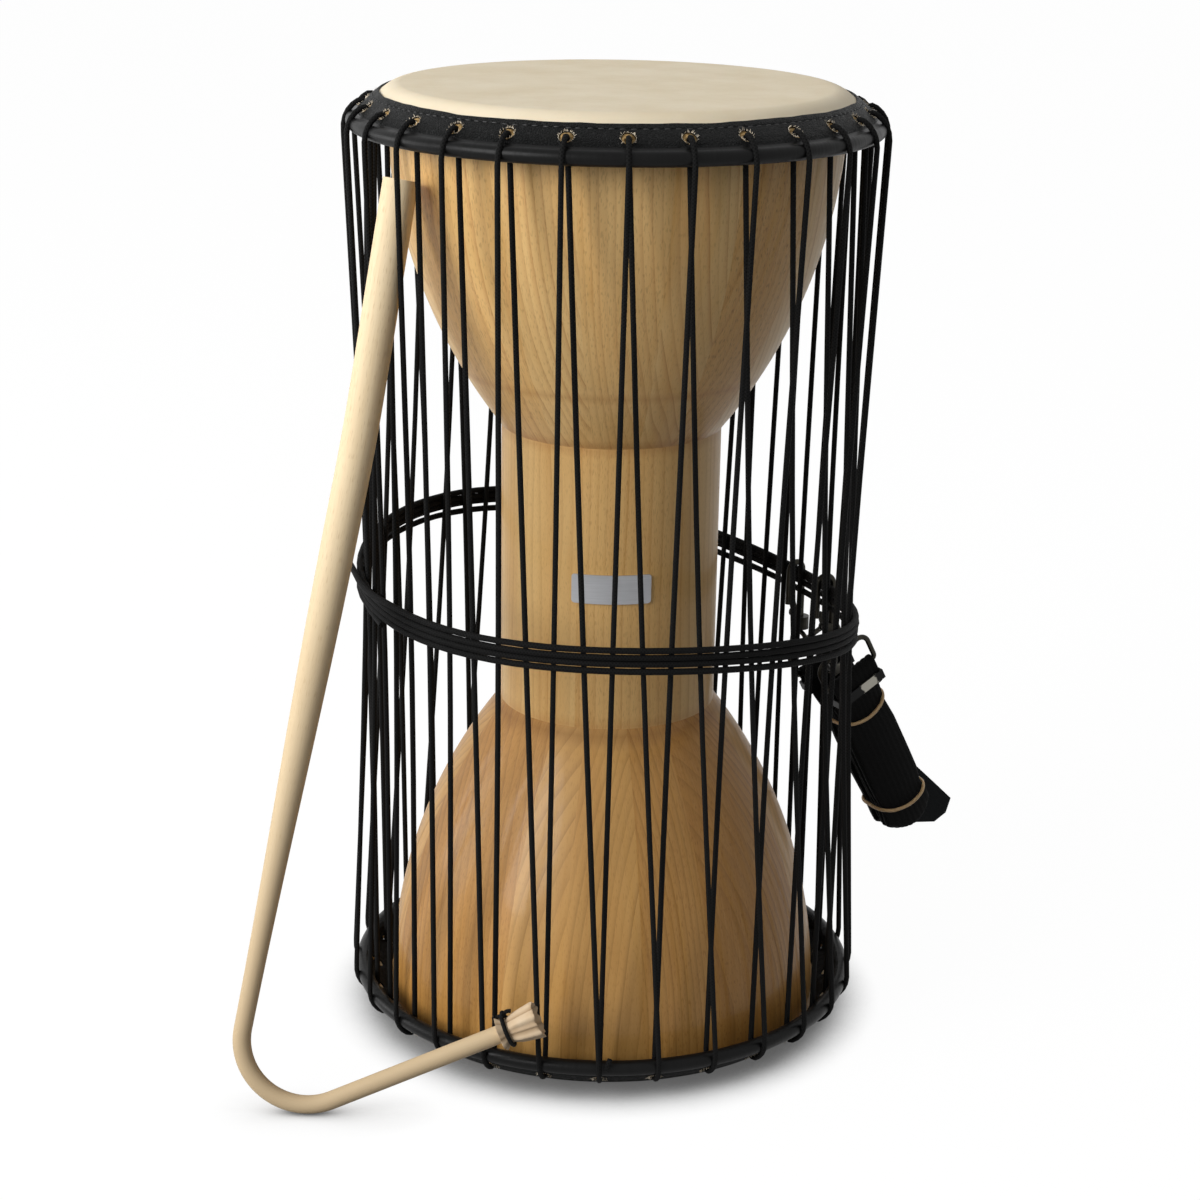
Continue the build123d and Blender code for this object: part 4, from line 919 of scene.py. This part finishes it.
def webbing(name, dark, light):
    """Woven nylon webbing: fine crosswise picks over the ribs, their hollows darkened as painted shade, and a
    soft dull shine.
    """
    material, tree, shader = finish(name, {"Roughness": 0.75, "IOR": 1.5, "Specular IOR Level": 0.06})
    turn = hank_frame.to_3x3().transposed().to_euler()
    local = add(tree, "Mapping", {0: add(tree, "TexCoord").outputs["Object"], 2: turn})
    spread = add(tree, "SeparateXYZ", {0: local})
    # Picks 0.9 mm apart, coarser than real webbing so that they show.
    picks = add(tree, "Math", {0: spread.outputs[1], 1: math.tau / 0.0009}, operation="MULTIPLY")
    ends = add(tree, "Math", {0: spread.outputs[2], 1: math.tau / 0.0015}, operation="MULTIPLY")
    pick = add(tree, "Math", {0: picks}, operation="SINE")
    warp = add(tree, "Math", {0: ends}, operation="SINE")
    weave = add(tree, "Math", {0: pick, 1: warp}, operation="MULTIPLY")
    crown_and_shade = add(tree, "MapRange", {0: weave, 1: -1.0, 2: 1.0, 3: 0.0, 4: 1.0})
    # The hollows between the yarns are darker as painted shade.
    weave_shaded = add(tree, "Mix", {0: crown_and_shade, 6: linear(dark), 7: linear(light)}, data_type="RGBA")
    woven = add(tree, "Bump", {"Height": crown_and_shade, "Strength": 0.5, "Distance": 0.0003})
    wire(shader, {"Base Color": weave_shaded, "Normal": woven})
    return material


hank = piece("strap_hank", form, webbing("ribbed nylon webbing", "#040404", "#141414"), 60.0)
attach(hank, "strap")
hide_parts("strap_webbing")

# Strap's loose end: a flat tail of thinner, greyer webbing behind the hank, cut with its corners off.
# It is heat-sealed at the cut, and it curls a little away from the hank.
flap_drop, flap_length, flap_clip = 0.062, 0.068, 0.008
flap_lean = math.tan(math.radians(19.0))
flap_back = -0.0149
form = bmesh.new()
bmesh.ops.create_grid(form, x_segments=34, y_segments=14, size=0.5)
for spot in form.verts:
    far = spot.co.x + 0.5
    side = spot.co.y
    curl = 0.0011 * math.sin(math.pi * far) * math.cos(2.2 * side) - 0.0010 * far ** 3
    down_strap = flap_drop + far * flap_length
    spot.co = (flap_back + curl, down_strap, side * web_width + far * flap_length * flap_lean)
for cut_from, cut_lean in ((web_width / 2 - flap_clip, 1.0), (-0.1 * web_width, -0.8)):
    corner = Vector((flap_back, flap_drop + flap_length, cut_from + flap_length * flap_lean))
    everything = list(form.verts) + list(form.edges) + list(form.faces)
    bmesh.ops.bisect_plane(
        form, geom=everything, plane_co=corner, plane_no=(0, 1, cut_lean), clear_outer=True,
    )
bmesh.ops.transform(form, matrix=hank_frame, verts=form.verts)
bmesh.ops.recalc_face_normals(form, faces=form.faces)
flap = piece("strap_tail", form, webbing("thin nylon webbing", "#131415", "#232526"), 60.0)
wall = flap.modifiers.new("thickness", "SOLIDIFY")
wall.thickness = 0.0013
wall.offset = 0.0
soften = flap.modifiers.new("soft edge", "BEVEL")
soften.width = 0.0003
soften.segments = 2
settle(flap)
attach(flap, "strap")
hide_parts("strap_flap")

# Rubber bands: two tan rubber bands stretched round the hank, the lower one askew.
# The rubber is smooth and slightly glossy, with a dusty bloom, and the front of each sags.
gum, tree, shader = finish("tan natural rubber", {
    "IOR": 1.52, "Subsurface Weight": 0.1, "Subsurface Radius": (0.002, 0.001, 0.0005),
})
place = add(tree, "TexCoord").outputs["Object"]
bloom = add(tree, "TexNoise", {"Vector": place, "Scale": 420.0, "Detail": 3.0})
amber = add(tree, "Mix", {0: bloom, 6: linear("#b08a58"), 7: linear("#d2b487")}, data_type="RGBA")
dusted = add(tree, "MapRange", {0: bloom, 1: 0.3, 2: 0.7, 3: 0.38, 4: 0.6})
wire(shader, {"Base Color": amber, "Roughness": dusted})
rubber_d = 0.0018
rubber_steps = 24
corner_power = 0.45
deep = first * (1 - pinch_deep) + web_thick / 2 + rubber_d / 2 + 0.0004
wide = web_width / 2 * (1 - pinch_wide) + rubber_d / 2 + 0.0010
for name, place, sag, tilt in (("upper", bands[0], 0.0045, 0.0), ("lower", bands[1], 0.0040, 0.0015)):
    route = []
    for step in range(rubber_steps):
        angle = math.tau * step / rubber_steps
        # A rounded box: nearly flat on its four sides, full at its corners.
        round_x = math.copysign(abs(math.cos(angle)) ** corner_power, math.cos(angle))
        round_z = math.copysign(abs(math.sin(angle)) ** corner_power, math.sin(angle))
        x = deep * round_x * (1 - edge_squeeze * round_z ** 2) * 1.03
        z = wide * round_z * 1.02
        sunk = sag * max(round_x, 0.0) * (1 - round_z ** 2) + tilt * round_z
        route.append(hank_frame @ Vector((x, place + sunk, z)))
    band = corded("rubber_" + name, route, rubber_d, 8, gum, closed=True)
    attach(band, "strap")
    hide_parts("rubber_band_" + name)

# Studio: a plain pale floor, a large soft light high on the left, a weaker one level with the drum
# at its far left, and a weak fill from all round.
# The camera stands where the photograph was taken, looking slightly down.
def seen_rays(tree):
    """A node that gives 1 to rays from the camera, straight or by way of a shiny or clear surface."""
    rays = add(tree, "LightPath")
    sorts = [rays.outputs["Is " + sort + " Ray"] for sort in ("Camera", "Glossy", "Transmission")]
    mirrored = add(tree, "Math", {0: sorts[1], 1: sorts[2]}, operation="ADD")
    return add(tree, "Math", {0: sorts[0], 1: mirrored}, operation="ADD", use_clamp=True)


floor_form = bmesh.new()
bmesh.ops.create_grid(floor_form, x_segments=1, y_segments=1, size=6.0)
pale, tree, shader = finish("pale floor", {"Roughness": 0.9, "Specular IOR Level": 0.0})
wire(shader, {"Base Color": linear("#808080")})
glow = add(tree, "Emission", {"Color": linear("#ffffff"), "Strength": 1.02})
# Close under the object the paper's own shade shows, darkened further by ambient occlusion in its colour as a
# painted contact shadow, and further off it fades to white.
near = add(tree, "AmbientOcclusion", {"Color": linear("#f7f7f7"), "Distance": 0.022}, samples=8)
paper = add(tree, "BsdfDiffuse", {"Color": near.outputs["Color"]})
open_air = add(tree, "MapRange", {0: near.outputs["AO"], 1: 0.25, 2: 0.95, 3: 0.1, 4: 0.95})
lit = add(tree, "MixShader", {0: open_air, 1: paper, 2: glow})
floor_mix = add(tree, "MixShader", {0: seen_rays(tree), 1: shader, 2: lit})
wire(tree.nodes["Material Output"], {"Surface": floor_mix})
floor = piece("floor", floor_form, pale)

# The fill is stronger from above, as under a white ceiling.
world = bpy.data.worlds.new("studio")
world.use_nodes = True
bpy.context.scene.world = world
tree = world.node_tree
way = add(tree, "SeparateXYZ", {0: add(tree, "TexCoord").outputs["Generated"]})
ceiling = add(tree, "MapRange", {0: way.outputs[2], 1: 0.0, 2: 0.9, 3: 0.13, 4: 0.46})
sky = add(tree, "Mix", {0: seen_rays(tree), 6: ceiling, 7: linear("#ffffff")}, data_type="RGBA")
wire(tree.nodes["Background"], {"Color": sky})

# An area light of this power gives a surface that faces it about its level times the surface's own colour.
aim = Vector((0.0, 0.0, 0.22))
distance = 2.6
for name, level, size, way in (
    ("key", 0.97, 1.8, (-0.74, -0.56, 0.38)),
    ("side", 0.28, 1.4, (-0.95, 0.2, 0.1)),
):
    light = bpy.data.lights.new(name, "AREA")
    light.shape = "DISK"
    light.size = size
    light.energy = level * math.pi * math.pi * distance ** 2
    lamp = bpy.data.objects.new(name, light)
    lamp.location = aim + Vector(way).normalized() * distance
    lamp.rotation_euler = (aim - lamp.location).to_track_quat("-Z", "Y").to_euler()
    bpy.context.scene.collection.objects.link(lamp)

# The focal length is in pixels of the photograph's 1200 x 1200 frame.
focal_px, photo_px = 2603.5, 1200
stand = Vector((-0.029567, -1.165849, 0.576173))
pitch_down, yaw, roll = math.radians(17.887), math.radians(1.259), math.radians(0.954)
camera = bpy.data.cameras.new("camera")
camera.sensor_width = 36.0
camera.lens = focal_px / photo_px * camera.sensor_width
camera.clip_start = 0.05
level = Vector((math.cos(yaw), -math.sin(yaw), 0.0))
forward = Vector((math.sin(yaw), math.cos(yaw), 0.0))
ahead = forward * math.cos(pitch_down) - Vector((0.0, 0.0, math.sin(pitch_down)))
upward = level.cross(ahead)
right = math.cos(roll) * level + math.sin(roll) * upward
up = -math.sin(roll) * level + math.cos(roll) * upward
eye = bpy.data.objects.new("camera", camera)
eye.matrix_world = Matrix.Translation(stand) @ Matrix((right, up, -ahead)).transposed().to_4x4()
bpy.context.scene.collection.objects.link(eye)
bpy.context.scene.camera = eye
bpy.context.scene.view_settings.view_transform = "Standard"
